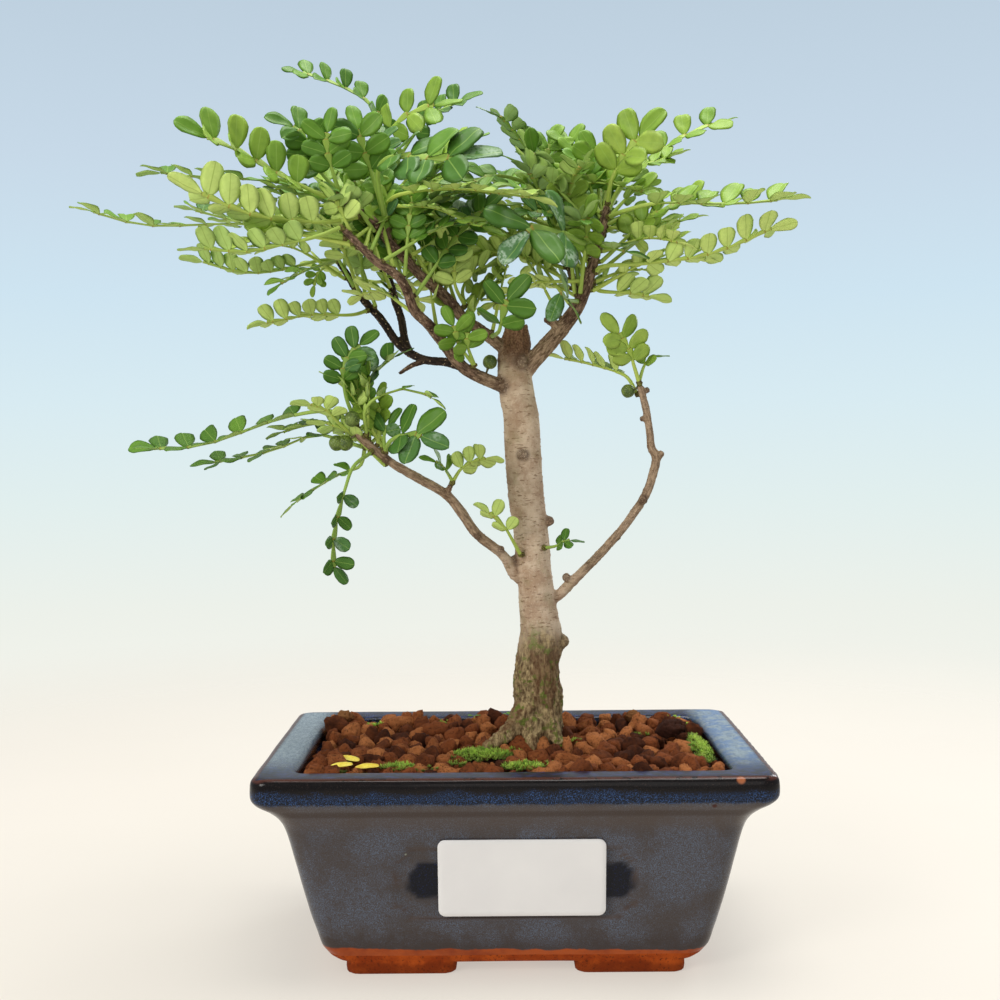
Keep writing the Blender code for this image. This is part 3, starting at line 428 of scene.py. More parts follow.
# %% [markdown]
# ## The pot's shape
# The pot is slip-cast clay: an oblong with walls that lean out, a heavy lip and four feet. A row of
# levels gives its half width, half depth and corner radius at each height, and a smooth curve through
# them is lofted into rings. A small wobble keeps it from looking machined, the glaze ripples on its lip,
# and a panel with bitten corners is pressed into the front and the back.

# %% The pot's levels
PANEL_SIZE = (71.0, 22.6)
PANEL_DEPTH = 1.3
PANEL_MIDDLE = 28.4
PANEL_NOTCH = 4.0
POOL_SIZE = (66.6, 11.6)
POOL_MIDDLE = (1.7, 29.2)
FLOOR_TOP = 11.0
FOOT_SIZE = (33.0, 22.0)
FOOT_REACH = (50.5, 35.6)
FOOT_TOP = 8.0
DRAIN_RADIUS = 6.0
DRAIN_REACH = 26.0
CORNER_STEPS = 9
LONG_STEPS = 84
SHORT_STEPS = 50
CLAY_TOP = 6.0
CLAY_LEVELS = [
    (3.4, 53.0, 34.6, 6.0), (3.9, 54.3, 35.3, 6.4), (5.0, 55.8, 36.0, 6.6), (CLAY_TOP, 56.7, 36.3, 6.6),
]
GLAZED_LEVELS = [
    (6.3, 56.9, 36.4, 6.7), (8.0, 58.1, 37.0, 7.0), (12.3, 59.5, 37.6, 7.0), (17.0, 60.9, 38.2, 7.0),
    (30.0, 64.1, 39.9, 7.3), (43.0, 67.3, 41.6, 7.5), (47.5, 69.4, 43.2, 8.0), (50.5, 72.2, 45.0, 7.4),
    (52.6, 75.0, 46.7, 6.6), (54.4, HALF_W - 0.3, HALF_D - 0.2, 6.0), (56.0, HALF_W, HALF_D, 5.6),
    (59.4, HALF_W - 0.1, HALF_D - 0.1, 5.5), (60.8, HALF_W - 0.7, HALF_D - 0.6, 5.0),
    (POT_HEIGHT, HALF_W - 2.0, HALF_D - 2.0, 4.6), (POT_HEIGHT, 71.0, 43.0, 5.0), (61.1, 66.6, 38.6, 5.0),
    (60.6, 65.2, 37.2, 5.2), (59.2, 64.3, 36.3, 5.2), (55.0, 63.0, 35.3, 5.0), (40.0, 59.9, 34.1, 4.7),
    (20.0, 55.9, 32.8, 4.5), (12.6, 53.8, 31.4, 4.5), (FLOOR_TOP, 51.8, 29.4, 4.0),
]


def oblong(half_x, half_y, corner):
    """The outline's points, anticlockwise from above, with the same number on every level."""
    points = []
    signs = ((1, 1), (-1, 1), (-1, -1), (1, -1))
    for turn, (side_x, side_y) in enumerate(signs):
        for step in range(CORNER_STEPS + 1):
            angle = math.pi / 2 * (turn + step / CORNER_STEPS)
            points.append((
                side_x * (half_x - corner) + corner * math.cos(angle),
                side_y * (half_y - corner) + corner * math.sin(angle),
            ))
        steps = SHORT_STEPS if turn % 2 else LONG_STEPS
        angle = math.pi / 2 * (turn + 1)
        next_x, next_y = signs[(turn + 1) % 4]
        end = (
            next_x * (half_x - corner) + corner * math.cos(angle),
            next_y * (half_y - corner) + corner * math.sin(angle),
        )
        start = points[-1]
        for step in range(1, steps):
            share = step / steps
            points.append((start[0] + share * (end[0] - start[0]), start[1] + share * (end[1] - start[1])))
    return points


def panel_share(x, z):
    """1 inside the pressed panel, 0 outside it."""
    from_side = PANEL_SIZE[0] / 2 - abs(x)
    from_top = PANEL_SIZE[1] / 2 - abs(z - PANEL_MIDDLE)
    from_notch = math.hypot(from_side, from_top) - PANEL_NOTCH
    return ease(min(from_side, from_top, from_notch if from_side > -PANEL_NOTCH else 0), -0.4, 1.5)


def pot_ring(level, wobble=1.0):
    """A ring of the pot's surface, with its wobble, its glaze ripples and its panels."""
    z, half_x, half_y, corner = level
    ring = []
    for x, y in oblong(half_x, half_y, corner):
        away = Vector((x / half_x, y / half_y, 0)).normalized()
        shift = 0.28 * wobble * wave((x, y, z), 26) + 0.10 * wobble * wave((x, y, z), 7, 2)
        lip = ease(z, 52, 56) * ease(math.hypot(x, y * 1.5), 60, 74)
        shift += lip * 0.22 * math.sin(y * 1.35 + 0.8 * wave((x, y, z), 9)) * ease(x, 60, 74)
        outer = z < 50 and half_y > 34.5 + 0.06 * z
        if outer and abs(y) > half_y - 1:
            shift -= PANEL_DEPTH * panel_share(x, z)
        drop = 0.10 * wobble * wave((x, y, 0), 14, 5)
        ring.append((x + away.x * shift, y + away.y * shift, z + drop * ease(z, 8, 20)))
    return ring


print(len(oblong(50, 30, 5)), "points on each ring of the pot")

# %% [markdown]
# ## The pot's glaze
# The glaze is a dark blue that breaks: thin on the edges it is brown, thick in the panel and under the lip
# it is almost black, and on the walls blue flecks float over grey-brown. Noise and the height above the
# table decide the colour, and the shader stays one glossy Principled, as a fired glaze is. The foot is bare
# orange clay with dark grit in it.


# %% Glaze and bare clay
GLAZE_SLOPE = 0.012
GLAZE_END = 9.3
LIP_FOOT = 54.5
GLAZE_FLAWS_AND_PAINTED_GLINT = [
    ((-23.5, -44.0, 50.6), 0.9, (86, 30, 22)), ((-0.4, -44.2, 50.8), 0.7, (168, 92, 48)),
    ((57.0, -47.0, 53.2), 1.0, (60, 26, 18)), ((64.5, -47.5, 60.8), 1.6, (150, 88, 54)),
    # The pale grey spot at the lip's left corner, at (-63, -46.5, 54.6), is a painted highlight.
    ((-63.0, -46.5, 54.6), 1.4, (150, 142, 134)), ((-31.6, -41.0, 37.4), 0.8, (170, 178, 160)),
]


def make_glaze():
    finish = Finish("blue_brown_glaze", 0.2, 0.22)
    across, back, z = finish.axes()
    cloud = finish.step(finish.grain(0.07, 4, 0.65), 0.34, 0.60)
    fleck = finish.step(finish.grain(3.6, 3, 0.7), 0.40, 0.66)
    fine = finish.grain(4.5, 2, 0.5)
    share = finish.calc("ADD", finish.both(cloud, 0.75), 0.25)
    wall = finish.blend(finish.both(fleck, share), (65, 56, 51), (88, 99, 117))
    under_lip = finish.both(finish.step(z, 43, 48), finish.step(z, 54.2, 52.5))
    wall = finish.over(wall, under_lip, 0.6, (78, 67, 61))
    ledge = finish.both(finish.step(z, 49.0, 50.2), finish.step(z, 52.2, 51.2))
    wall = finish.over(wall, ledge, 0.75, (58, 46, 40))
    low_edge = finish.step(finish.calc("ADD", z, finish.both(cloud, 3.0)), 16.5, 10.0)
    wall = finish.over(wall, low_edge, 0.8, (56, 46, 42))
    wall = finish.over(wall, finish.attribute("pressed"), 0.85, (70, 56, 49))
    pool_fleck = finish.step(finish.grain(2.6, 2, 0.6), 0.56, 0.72)
    deep = finish.blend(finish.both(pool_fleck, 0.5), (7, 9, 20), (34, 50, 98))
    wall = finish.blend(finish.attribute("pool"), wall, deep)
    lip_low = finish.step(finish.calc("ADD", z, finish.both(cloud, 1.4)), 59.4, 57.2)
    lip_fleck = finish.step(finish.grain(3.6, 3, 0.7), 0.48, 0.70)
    navy = finish.blend(lip_fleck, (8, 11, 20), (58, 94, 150))
    specks = finish.step(finish.grain(3.0, 2), 0.62, 0.72)
    dark = finish.blend(finish.both(specks, 0.5), (10, 5, 5), (84, 66, 58))
    lip = finish.blend(lip_low, dark, navy)
    ragged = finish.calc("ADD", z, finish.both(finish.grain(0.45, 3), 1.8))
    colour = finish.blend(finish.step(ragged, LIP_FOOT, LIP_FOOT + 1), wall, lip)
    streaks = finish.step(finish.grain(1.1, 4, 0.6, (1, 0.4, 1)), 0.3, 0.78)
    # The pale grey-blue on the left and right tops of the rim is partly pale glaze and partly painted
    # reflection of the sky above.
    pale_rim_and_painted_sheen = finish.blend(streaks, (108, 126, 140), (146, 162, 168))
    right_side = finish.both(finish.step(across, 50, 66), finish.step(finish.grain(0.22, 3), 0.40, 0.58))
    pale_rim_and_painted_sheen = finish.over(pale_rim_and_painted_sheen, right_side, 0.7, (74, 110, 156))
    mottle = finish.step(finish.grain(1.1, 4, 0.7, (0.5, 1, 1)), 0.46, 0.66)
    deep_rim = finish.blend(mottle, (9, 11, 22), (38, 54, 104))
    at_side = finish.step(finish.calc("ABSOLUTE", across), 60, 69)
    side_share = finish.both(at_side, finish.step(back, -46, -14))
    colour = finish.blend(finish.attribute("rim"), colour, finish.blend(side_share, deep_rim, pale_rim_and_painted_sheen))
    edge = finish.both(finish.attribute("edge"), finish.step(finish.grain(0.35, 3), 0.30, 0.44))
    colour = finish.blend(edge, colour, (76, 42, 34))
    # Spots laid over the glaze; the pale one at the lip's left corner is a painted highlight.
    for place, radius, tint in GLAZE_FLAWS_AND_PAINTED_GLINT:
        away = finish.add("ShaderNodeVectorMath", {0: finish.place, 1: place}, operation="DISTANCE")
        colour = finish.blend(finish.step(away.outputs["Value"], radius, radius * 0.5), colour, tint)
    run = finish.calc("ADD", z, finish.both(finish.grain(0.16, 3), 2.4))
    bare = finish.step(finish.calc("ADD", run, finish.both(across, GLAZE_SLOPE)), GLAZE_END, GLAZE_END - 0.5)
    colour = finish.blend(bare, colour, finish.blend(cloud, (128, 50, 14), (160, 72, 24)))
    finish.colour(colour)
    front_rim = finish.both(finish.attribute("rim"), finish.step(back, -30, -36))
    dull = finish.calc("MAXIMUM", finish.both(bare, 3.0), finish.both(front_rim, 2.2))
    finish.rough(finish.calc("MAXIMUM", finish.calc("MAXIMUM", fleck, low_edge), dull), 0.10, 0.30)
    pits = finish.step(finish.cells(0.8), 0.10, 0.0)
    finish.relief(finish.calc("SUBTRACT", finish.both(fine, 0.25), pits), 0.05, 0.6)
    return finish


def make_clay():
    finish = Finish("bare_orange_clay", 0.88, 0.12)
    cloud = finish.step(finish.grain(0.12, 4, 0.6), 0.35, 0.65)
    colour = finish.blend(cloud, (132, 50, 12), (164, 72, 22))
    grit = finish.step(finish.grain(1.4, 3, 0.7), 0.58, 0.66)
    colour = finish.over(colour, grit, 0.8, (54, 24, 12))
    foot = finish.step(finish.calc("ADD", finish.height(), finish.both(cloud, 1.2)), 4.6, 3.0)
    colour = finish.over(colour, foot, 0.55, (92, 34, 8))
    finish.colour(colour)
    finish.relief(finish.grain(2.0, 4, 0.7), 0.14)
    return finish


glaze = make_glaze()
clay = make_clay()
print("finishes:", glaze.material.name, clay.material.name)

# %% [markdown]
# The rings are lofted, the feet are joined on and the drainage holes are cut with Booleans, as in clay.
# Three masks are written on the points afterwards: where glaze pools, the top of the rim, and its edge.


# %% Build the pot
def make_foot(side_x, side_y):
    form = bmesh.new()
    rings = []
    for z, grow in ((0.0, -0.7), (0.4, -0.2), (2.0, 0.0), (4.0, -0.1), (FOOT_TOP, -0.6)):
        half_x, half_y = FOOT_SIZE[0] / 2 + grow, FOOT_SIZE[1] / 2 + grow
        middle_x = side_x * (FOOT_REACH[0] - FOOT_SIZE[0] / 2)
        middle_y = side_y * (FOOT_REACH[1] - FOOT_SIZE[1] / 2)
        rings.append([
            (middle_x + x + 0.15 * wave((x, y, z), 8, side_x), middle_y + y, z)
            for x, y in oblong(half_x, half_y, 3.2)[::3]
        ])
    loft(form, rings, finish=1)
    return bpy.data.objects.new("foot", mesh_of(form, [glaze, clay]))


def make_drain(side_x):
    form = bmesh.new()
    bmesh.ops.create_cone(
        form, cap_ends=True, segments=40, radius1=DRAIN_RADIUS, radius2=DRAIN_RADIUS, depth=20,
    )
    bmesh.ops.translate(form, vec=(side_x * DRAIN_REACH, 0, 8), verts=form.verts)
    for face in form.faces:
        face.material_index = 1
    return bpy.data.objects.new("drain", mesh_of(form, [glaze, clay]))


def make_pot():
    form = bmesh.new()
    foot_rings = [pot_ring(level) for level in CLAY_LEVELS]
    levels = smooth_row(GLAZED_LEVELS, 0.95)
    rings = foot_rings + [pot_ring(level) for level in levels]
    faces = loft(form, rings)
    for face in faces:
        middle = face.calc_center_median()
        inside = middle.z < 52 and face.normal.xy.dot(middle.xy) < 0
        if middle.z < CLAY_TOP or inside or len(face.verts) > 4:
            face.material_index = 1
    pot = bpy.data.objects.new("pot", mesh_of(form, [glaze, clay]))
    helpers = []
    for side_x in (-1, 1):
        helpers += [(make_foot(side_x, side_y), "UNION") for side_y in (-1, 1)]
        helpers.append((make_drain(side_x), "DIFFERENCE"))
    for helper, operation in helpers:
        cut = pot.modifiers.new(helper.name, "BOOLEAN")
        cut.operation = operation
        cut.object = into_scene(helper)
        cut.solver = "EXACT"
    mesh = evaluated(pot)
    for helper, _ in helpers:
        bpy.data.objects.remove(helper)
    return mesh


def mark_pot(mesh):
    """Masks on the pot's points: pooled glaze, the top of the rim, and the edge where it thins."""
    masks = dict.fromkeys(("pool", "rim", "edge", "pressed"), "FLOAT")
    pool, rim, edge, pressed = new_attributes(mesh, masks)
    for index, vert in enumerate(mesh.vertices):
        x, y, z = vert.co
        from_side = POOL_SIZE[0] / 2 - abs(x - POOL_MIDDLE[0])
        from_top = POOL_SIZE[1] / 2 - abs(z - POOL_MIDDLE[1])
        ragged = 0.9 * wave((x, y, z), 5, 3)
        inside = ease(min(from_side, from_top, 0.7 * (from_side + from_top) - 2) + ragged, -0.4, 1.1)
        on_wall = abs(y) > 37 and z < 45
        pool[index].value = inside if on_wall else 0.0
        pressed[index].value = 4 * panel_share(x, z) * (1 - panel_share(x, z)) if on_wall else 0.0
        outward = max(abs(x) - (HALF_W - 1.9), abs(y) - (HALF_D - 1.9))
        rim[index].value = ease(z, 59.0, 60.6) * ease(-outward, 0.0, 1.0)
        edge[index].value = ease(z, 60.1, 60.9) * ease(-abs(outward - 0.35), -0.9, -0.3)


pot_mesh = make_pot()
mark_pot(pot_mesh)
pot = finished_piece("glazed_pot", into_frame(pot_mesh), "pot")
print("pot faces:", len(pot.data.polygons))

# %% [markdown]
# ## The sticker
# A glossy white paper sticker bridges the panel at the front. It stays blank. It is a thin lofted sheet
# with rounded corners, bowed by a hair, because even a flat sticker catches the light unevenly.

# %% Build the sticker
LABEL_SIZE = (49.0, 23.8)
LABEL_MIDDLE = (2.0, 30.5)
LABEL_CORNER = 2.2
LABEL_THICK = 0.4
WALL_LOW = (17.0, 60.9, 38.2)
WALL_HIGH = (43.0, 67.3, 41.6)
WALL_LEAN = math.atan2(WALL_HIGH[2] - WALL_LOW[2], WALL_HIGH[0] - WALL_LOW[0])


def wall_frame(z, across):
    """Matrix whose X runs along the front wall, Y up it and Z out of it, at this height."""
    share = (z - WALL_LOW[0]) / (WALL_HIGH[0] - WALL_LOW[0])
    half_depth = WALL_LOW[2] + share * (WALL_HIGH[2] - WALL_LOW[2])
    return Matrix.Translation((across, -half_depth, z)) @ Matrix.Rotation(math.pi / 2 + WALL_LEAN, 4, "X")


def make_paper():
    finish = Finish("blank_white_paper", 0.3, 0.5)
    soft = finish.grain(0.05, 3, 0.5)
    finish.colour(finish.blend(soft, (214, 212, 212), (230, 228, 226)))
    finish.rough(finish.grain(0.6, 3), 0.25, 0.42)
    finish.relief(finish.grain(2.5, 4, 0.7), 0.02, 0.5)
    return finish


def make_label():
    form = bmesh.new()
    rings = []
    rounding = 0.12
    face = GAP + LABEL_THICK
    rows = ((GAP, -0.05), (GAP + rounding, 0.0), (face - rounding, 0.0), (face, -0.1))
    shrink = [(face, -0.1 - inset) for inset in (1.5, 3.5, 6.0, 8.5)]
    for z, grow in [*rows, *shrink]:
        half_x, half_y = LABEL_SIZE[0] / 2 + grow, LABEL_SIZE[1] / 2 + grow
        corner = max(LABEL_CORNER + grow, 0.3)
        ring = oblong(half_x, half_y, corner)
        rings.append([(x, y, z + 0.05 * wave((x, y, 0), 15, 4)) for x, y in ring])
    loft(form, rings)
    form.transform(wall_frame(LABEL_MIDDLE[1], LABEL_MIDDLE[0]))
    bmesh.ops.recalc_face_normals(form, faces=form.faces)
    return finished_piece("blank_sticker", into_frame(mesh_of(form, [make_paper()])), "label")


label = make_label()
print(label.name, LABEL_SIZE, "mm")

# %% [markdown]
# ## Helpers for Geometry Nodes
# Moss, clods and leaves repeat a few shapes many times. A tree of nodes does that from a guide mesh, and
# its inputs are set by name. The result is copied into a plain mesh, so that no modifier is left.


# %% Geometry Nodes helpers
def new_nodes_tree(name, inputs):
    """An empty Geometry Nodes tree with a Geometry input, the named inputs and a Geometry output."""
    tree = bpy.data.node_groups.new(name, "GeometryNodeTree")
    tree.interface.new_socket("Geometry", in_out="INPUT", socket_type="NodeSocketGeometry")
    for label, kind in inputs.items():
        tree.interface.new_socket(label, in_out="INPUT", socket_type="NodeSocket" + kind)
    tree.interface.new_socket("Geometry", in_out="OUTPUT", socket_type="NodeSocketGeometry")
    return tree, add_node(tree, "NodeGroupInput").outputs


def read_attribute(tree, name, kind):
    node = add_node(tree, "GeometryNodeInputNamedAttribute", {"Name": name}, data_type=kind)
    return node.outputs["Attribute"]


def compare(tree, value, number, how):
    node = add_node(tree, "FunctionNodeCompare", {"A": value, "B": number}, data_type="INT", operation=how)
    return node.outputs[0]


def tubes_along(tree, edges, sides, radius, inputs):
    """Tubes of this radius along the edges of a mesh."""
    line = add_node(tree, "GeometryNodeMeshToCurve", {"Mesh": edges})
    profile = add_node(tree, "GeometryNodeCurvePrimitiveCircle", {"Resolution": sides, "Radius": radius})
    return add_node(tree, "GeometryNodeCurveToMesh", {
        "Curve": line.outputs[0], "Profile Curve": profile.outputs[0], "Fill Caps": True, **inputs,
    }).outputs[0]


def grow(guide, tree, values):
    """The plain mesh that a tree of nodes makes from the guide. The guide is removed."""
    modifier = guide.modifiers.new(tree.name, "NODES")
    modifier.node_group = tree
    for item in tree.interface.items_tree:
        if item.item_type == "SOCKET" and item.in_out == "INPUT" and item.name in values:
            modifier[item.identifier] = values[item.name]
    return evaluated(guide)


print("node tree helpers ready")

# %% [markdown]
# ## The limbs
# The tree grew from one trunk, cut back at the top, with limbs that leave it low and high. Each limb is a
# row of places in the front view, with its depth and its radius, as in the imported part. The tone says how
# dark its bark is: pale on the old trunk and brown on the limbs. The thin limbs at the back are almost black,
# and that near-black is painted shade, as they stand in the shade behind the leaves.
# Knobs are the scars of twigs that were cut off.

# %% The rows of the limbs
TRUNK = [
    (534, 765, 5, 8.7), (534, 740, 5, 8.8), (538, 719, 5, 7.9), (539, 700, 5, 7.8), (537, 681, 5, 7.5),
    (538, 659, 5, 7.0), (541, 640, 5, 7.1), (539, 615, 5, 6.3), (535, 577, 4, 5.6), (531, 535, 4, 5.6),
    (526, 494, 4, 5.8), (523, 453, 3, 5.9), (521, 418, 3, 5.7), (517, 395, 3, 5.6), (514, 370, 3, 5.4),
    (514, 350, 3, 4.9), (516, 334, 3, 3.9), (516, 326, 3, 3.5),
]
LIMBS = {
    "right_upper": [
        (520, 376, 3, 3.0), (532, 362, 2, 2.8), (550, 342, 2, 2.7), (570, 318, 1, 2.4), (582, 298, -1, 2.0),
        (590, 275, -3, 1.7), (600, 240, -5, 1.4), (607, 206, -7, 1.1),
    ],
    "left_lower_main": [
        (512, 389, 2, 2.3), (497, 384, 1, 2.1), (470, 372, -3, 2.0), (457, 361, -6, 1.9), (442, 341, -9, 1.8),
        (429, 325, -12, 1.7), (414, 310, -14, 1.6), (406, 288, -17, 1.5), (394, 273, -19, 1.4),
        (378, 263, -21, 1.3), (367, 253, -23, 1.2), (355, 241, -25, 1.1), (344, 230, -27, 1.0),
    ],
    "left_upper_main": [
        (512, 354, 3, 2.2), (501, 346, 2, 2.0), (483, 332, 1, 1.9), (464, 319, -1, 1.9),
        (452, 304, -3, 1.8), (438, 290, -5, 1.8), (422, 277, -8, 1.6), (409, 263, -10, 1.5),
        (400, 253, -11, 1.5), (387, 240, -13, 1.4), (377, 225, -15, 1.4), (368, 217, -16, 1.3),
        (355, 207, -18, 1.2), (342, 195, -20, 1.1),
    ],
    "back_limb": [
        (470, 372, -3, 1.3), (458, 366, 0, 1.4), (445, 362, 4, 1.4), (426, 360, 10, 1.4), (408, 352, 17, 1.4),
        (396, 341, 22, 1.4), (381, 319, 26, 1.4), (368, 305, 28, 1.4), (355, 288, 30, 1.3),
        (347, 274, 31, 1.2), (339, 263, 32, 1.0),
    ],
    "back_limb_second": [
        (411, 354, 16, 1.2), (405, 340, 22, 1.3), (401, 318, 28, 1.4), (395, 300, 32, 1.4),
        (390, 282, 35, 1.3), (382, 269, 37, 1.2), (377, 246, 39, 1.1), (380, 215, 40, 1.0),
        (388, 184, 39, 0.9),
    ],
    "dead_twig": [(430, 360, 9, 1.0), (413, 365, 11, 0.9), (399, 374, 12, 0.6)],
    "upright_shoot": [(389, 243, -13, 1.1), (387, 224, -12, 1.0), (386, 208, -11, 0.9)],
    "middle_shoot": [
        (580, 302, 0, 1.3), (570, 270, 5, 1.2), (561, 240, 9, 1.1), (552, 210, 12, 1.0), (541, 182, 13, 0.9),
    ],
    "sawn_stub": [(560, 332, 1, 1.6), (551, 319, 0, 1.3)],
    "left_lower": [
        (528, 584, 4, 1.9), (514, 573, 2, 1.8), (503, 555, 0, 1.6), (477, 534, -3, 1.6), (459, 509, -6, 1.6),
        (444, 493, -8, 1.5), (418, 478, -11, 1.5), (395, 465, -14, 1.4), (378, 452, -16, 1.3),
        (360, 437, -18, 1.2), (357, 427, -19, 1.0),
    ],
    "left_spur": [(446, 495, -8, 1.1), (451, 485, -8, 0.9)],
    "right_whip": [
        (545, 603, 5, 1.9), (557, 596, 5, 1.7), (572, 582, 4, 1.6), (594, 560, 2, 1.5), (618, 534, 0, 1.4),
        (632, 516, -2, 1.4), (646, 494, -4, 1.4), (654, 470, -6, 1.4), (656, 457, -7, 1.4),
        (651, 447, -7, 1.3), (650, 434, -8, 1.2), (646, 409, -9, 1.2), (640, 386, -10, 1.1),
    ],
    "whip_stub": [(655, 460, -7, 1.2), (663, 452, -7, 1.0)],
}
ROOTS = {
    "root_left": [(528, 710, 1, 5.0), (514, 728, -3, 3.2), (500, 739, -6, 2.3), (485, 748, -8, 1.3)],
    "root_right": [(545, 716, 1, 4.4), (553, 734, -2, 2.6), (560, 746, -4, 1.6)],
    "root_front": [(533, 722, -1, 4.6), (531, 742, -5, 2.8), (527, 755, -8, 1.6)],
    "root_back": [(542, 716, 8, 5.0), (552, 722, 14, 3.0), (560, 728, 18, 1.6)],
}
# The thin limbs at the back get the darkest tones: their near-black is painted shade from the leaves in
# front.
BARK_TONES_AND_BACK_SHADE = {
    "trunk": 0.0, "right_upper": 0.55, "left_lower_main": 0.62, "left_upper_main": 0.72, "back_limb": 0.95,
    "back_limb_second": 1.0, "dead_twig": 0.85, "upright_shoot": 0.75, "middle_shoot": 0.8,
    "sawn_stub": 0.45, "left_lower": 0.27, "left_spur": 0.6, "right_whip": 0.26, "whip_stub": 0.28,
    "root_left": 0.1, "root_right": 0.1, "root_front": 0.1, "root_back": 0.1,
}
KNOBS = [
    (562, 641, 4, 2.4), (549, 521, 3, 1.7), (514, 561, 3, 2.0), (503, 386, 0, 2.4), (523, 455, -2.6, 1.7),
    (521, 362, -1.6, 2.2), (643, 500, -5, 1.5), (617, 536, 1, 1.4), (566, 577, 3.4, 1.3), (647, 390, -9, 1.0),
    (642, 419, -8, 0.9), (477, 536, -4, 1.2), (501, 549, -1.5, 1.2), (400, 252, -12.5, 1.4),
    (453, 303, -4.5, 1.4), (430, 325, -13.2, 1.3), (406, 290, -18.2, 1.2), (377, 226, -16, 1.2),
    (386, 460, -15.6, 1.3), (583, 298, -2.6, 1.4), (570, 318, -0.6, 1.5), (548, 320, 0, 1.3),
]
ROW_OF = {"trunk": TRUNK, **LIMBS, **ROOTS}
print(len(LIMBS), "limbs,", len(ROOTS), "roots and", len(KNOBS), "knobs")

# %% [markdown]
# ## From rows to one body of wood
# The tubes cross where limbs leave the trunk, and on a real tree the wood flows together there. A voxel
# remesh melts all tubes into one skin with even faces, and a little smoothing rounds the crotches. Then
# each point looks up the nearest limb in a k-d tree, to learn its tone and its place along and around the
# limb. Those go into attributes, so that cracks run along each limb in the bark's material. A limb that
# leaves the trunk starts paler than the rest of it and darkens along its first two centimetres.

# %% Sweep the limbs and melt them together
WOOD_VOXEL = 0.46
SKELETON_STEP = 1.0
PALE_FOOT = 22.0
Bone = namedtuple("Bone", "place along side radius tone run")


def limb_bones(name):
    """The limb's middle line as evenly spaced bones, with a frame that turns as little as it can."""
    rows = [(*sight(*values[:3]), values[3]) for values in ROW_OF[name]]
    near_trunk = 0.5 if 500 < ROW_OF[name][0][0] < 575 else 1.0
    line = smooth_row(rows, SKELETON_STEP)
    side = None
    bones = []
    run = 0.0
    for index, values in enumerate(line):
        place = values.xyz
        before, after = line[max(index - 1, 0)].xyz, line[min(index + 1, len(line) - 1)].xyz
        along = (after - before).normalized()
        if side is None:
            side = along.orthogonal()
        side = (side - along * side.dot(along)).normalized()
        run += (place - before).length
        tone = BARK_TONES_AND_BACK_SHADE[name] * (near_trunk + (1 - near_trunk) * ease(run, 4, PALE_FOOT))
        bones.append(Bone(place, along, side, values[3], tone, run))
    return bones


def knobbly_radius(bone, name, angle):
    """Wood is never round: it swells and dents along its length and round it."""
    round_place = (3 * math.cos(angle), 3 * math.sin(angle), bone.run * 0.55)
    if name == "trunk":
        return bone.radius * (1 + 0.035 * wave(round_place, 3.1, 1))
    return bone.radius * (1.02 + 0.10 * wave(round_place, 2.2, len(name)))


def tube_ring(middle, side, other, count, radius_at):
    """Places round a tube, at a radius that may change with the angle."""
    angles = [2 * math.pi * i / count for i in range(count)]
    return [middle + (side * math.cos(a) + other * math.sin(a)) * radius_at(a) for a in angles]


def sweep_limb(form, name, bones):
    sides = 28 if name == "trunk" else 14
    loft(form, [
        tube_ring(
            bone.place, bone.side, bone.along.cross(bone.side), sides,
            lambda angle: knobbly_radius(bone, name, angle),
        )
        for bone in bones
    ])


def add_knob(form, across, down, depth, radius, seed):
    made = bmesh.ops.create_icosphere(form, subdivisions=3, radius=radius)["verts"]
    for vert in made:
        vert.co *= 1 + 0.22 * wave(vert.co, radius * 0.9, seed)
    bmesh.ops.translate(form, vec=sight(across, down, depth), verts=made)


def melted_wood(skeleton):
    form = bmesh.new()
    for name, bones in skeleton.items():
        sweep_limb(form, name, bones)
    for seed, knob in enumerate(KNOBS):
        add_knob(form, *knob, seed)
    wood = bpy.data.objects.new("wood", mesh_of(form))
    melt = wood.modifiers.new("melt", "REMESH")
    melt.mode = "VOXEL"
    melt.voxel_size = WOOD_VOXEL
    soften = wood.modifiers.new("soften", "SMOOTH")
    soften.factor = 0.5
    soften.iterations = 2
    return evaluated(wood)


skeleton = {name: limb_bones(name) for name in ROW_OF}
wood_mesh = melted_wood(skeleton)
print("wood faces:", len(wood_mesh.polygons))

# %% [markdown]
# The bark's relief is real geometry: lenticels raised in short level ridges on the trunk, fibres and moss
# at its foot, and shallow cracks along the brown limbs. Each point is pushed along its normal by a sum of
# noises, which follow the attributes that the k-d tree gave it. A second tree finds the nearest knob, where
# the bark is scarred and dark.


# %% Push out the bark
SAWN_TOP = 186.0
MOSSY_FOOT = (104.0, 84.0)


def bark_lookup(skeleton):
    bones = [bone for name in skeleton for bone in skeleton[name]]
    tree = kdtree.KDTree(len(bones))
    for index, bone in enumerate(bones):
        tree.insert(bone.place, index)
    tree.balance()
    return tree, bones


def bark_at(place, tree, bones):
    """The tone here, and the place unrolled along the nearest limb."""
    near = tree.find_n(place, 10)
    best = min(near, key=lambda found: found[2] - bones[found[1]].radius)
    bone = bones[best[1]]
    total = tone = 0.0
    for _, index, distance in near:
        weight = math.exp(-max(distance - bones[index].radius, 0) / 0.7)
        total += weight
        tone += weight * bones[index].tone
    away = place - bone.place
    other = bone.along.cross(bone.side)
    return tone / total, Vector((away.dot(bone.side), away.dot(other), bone.run + away.dot(bone.along)))


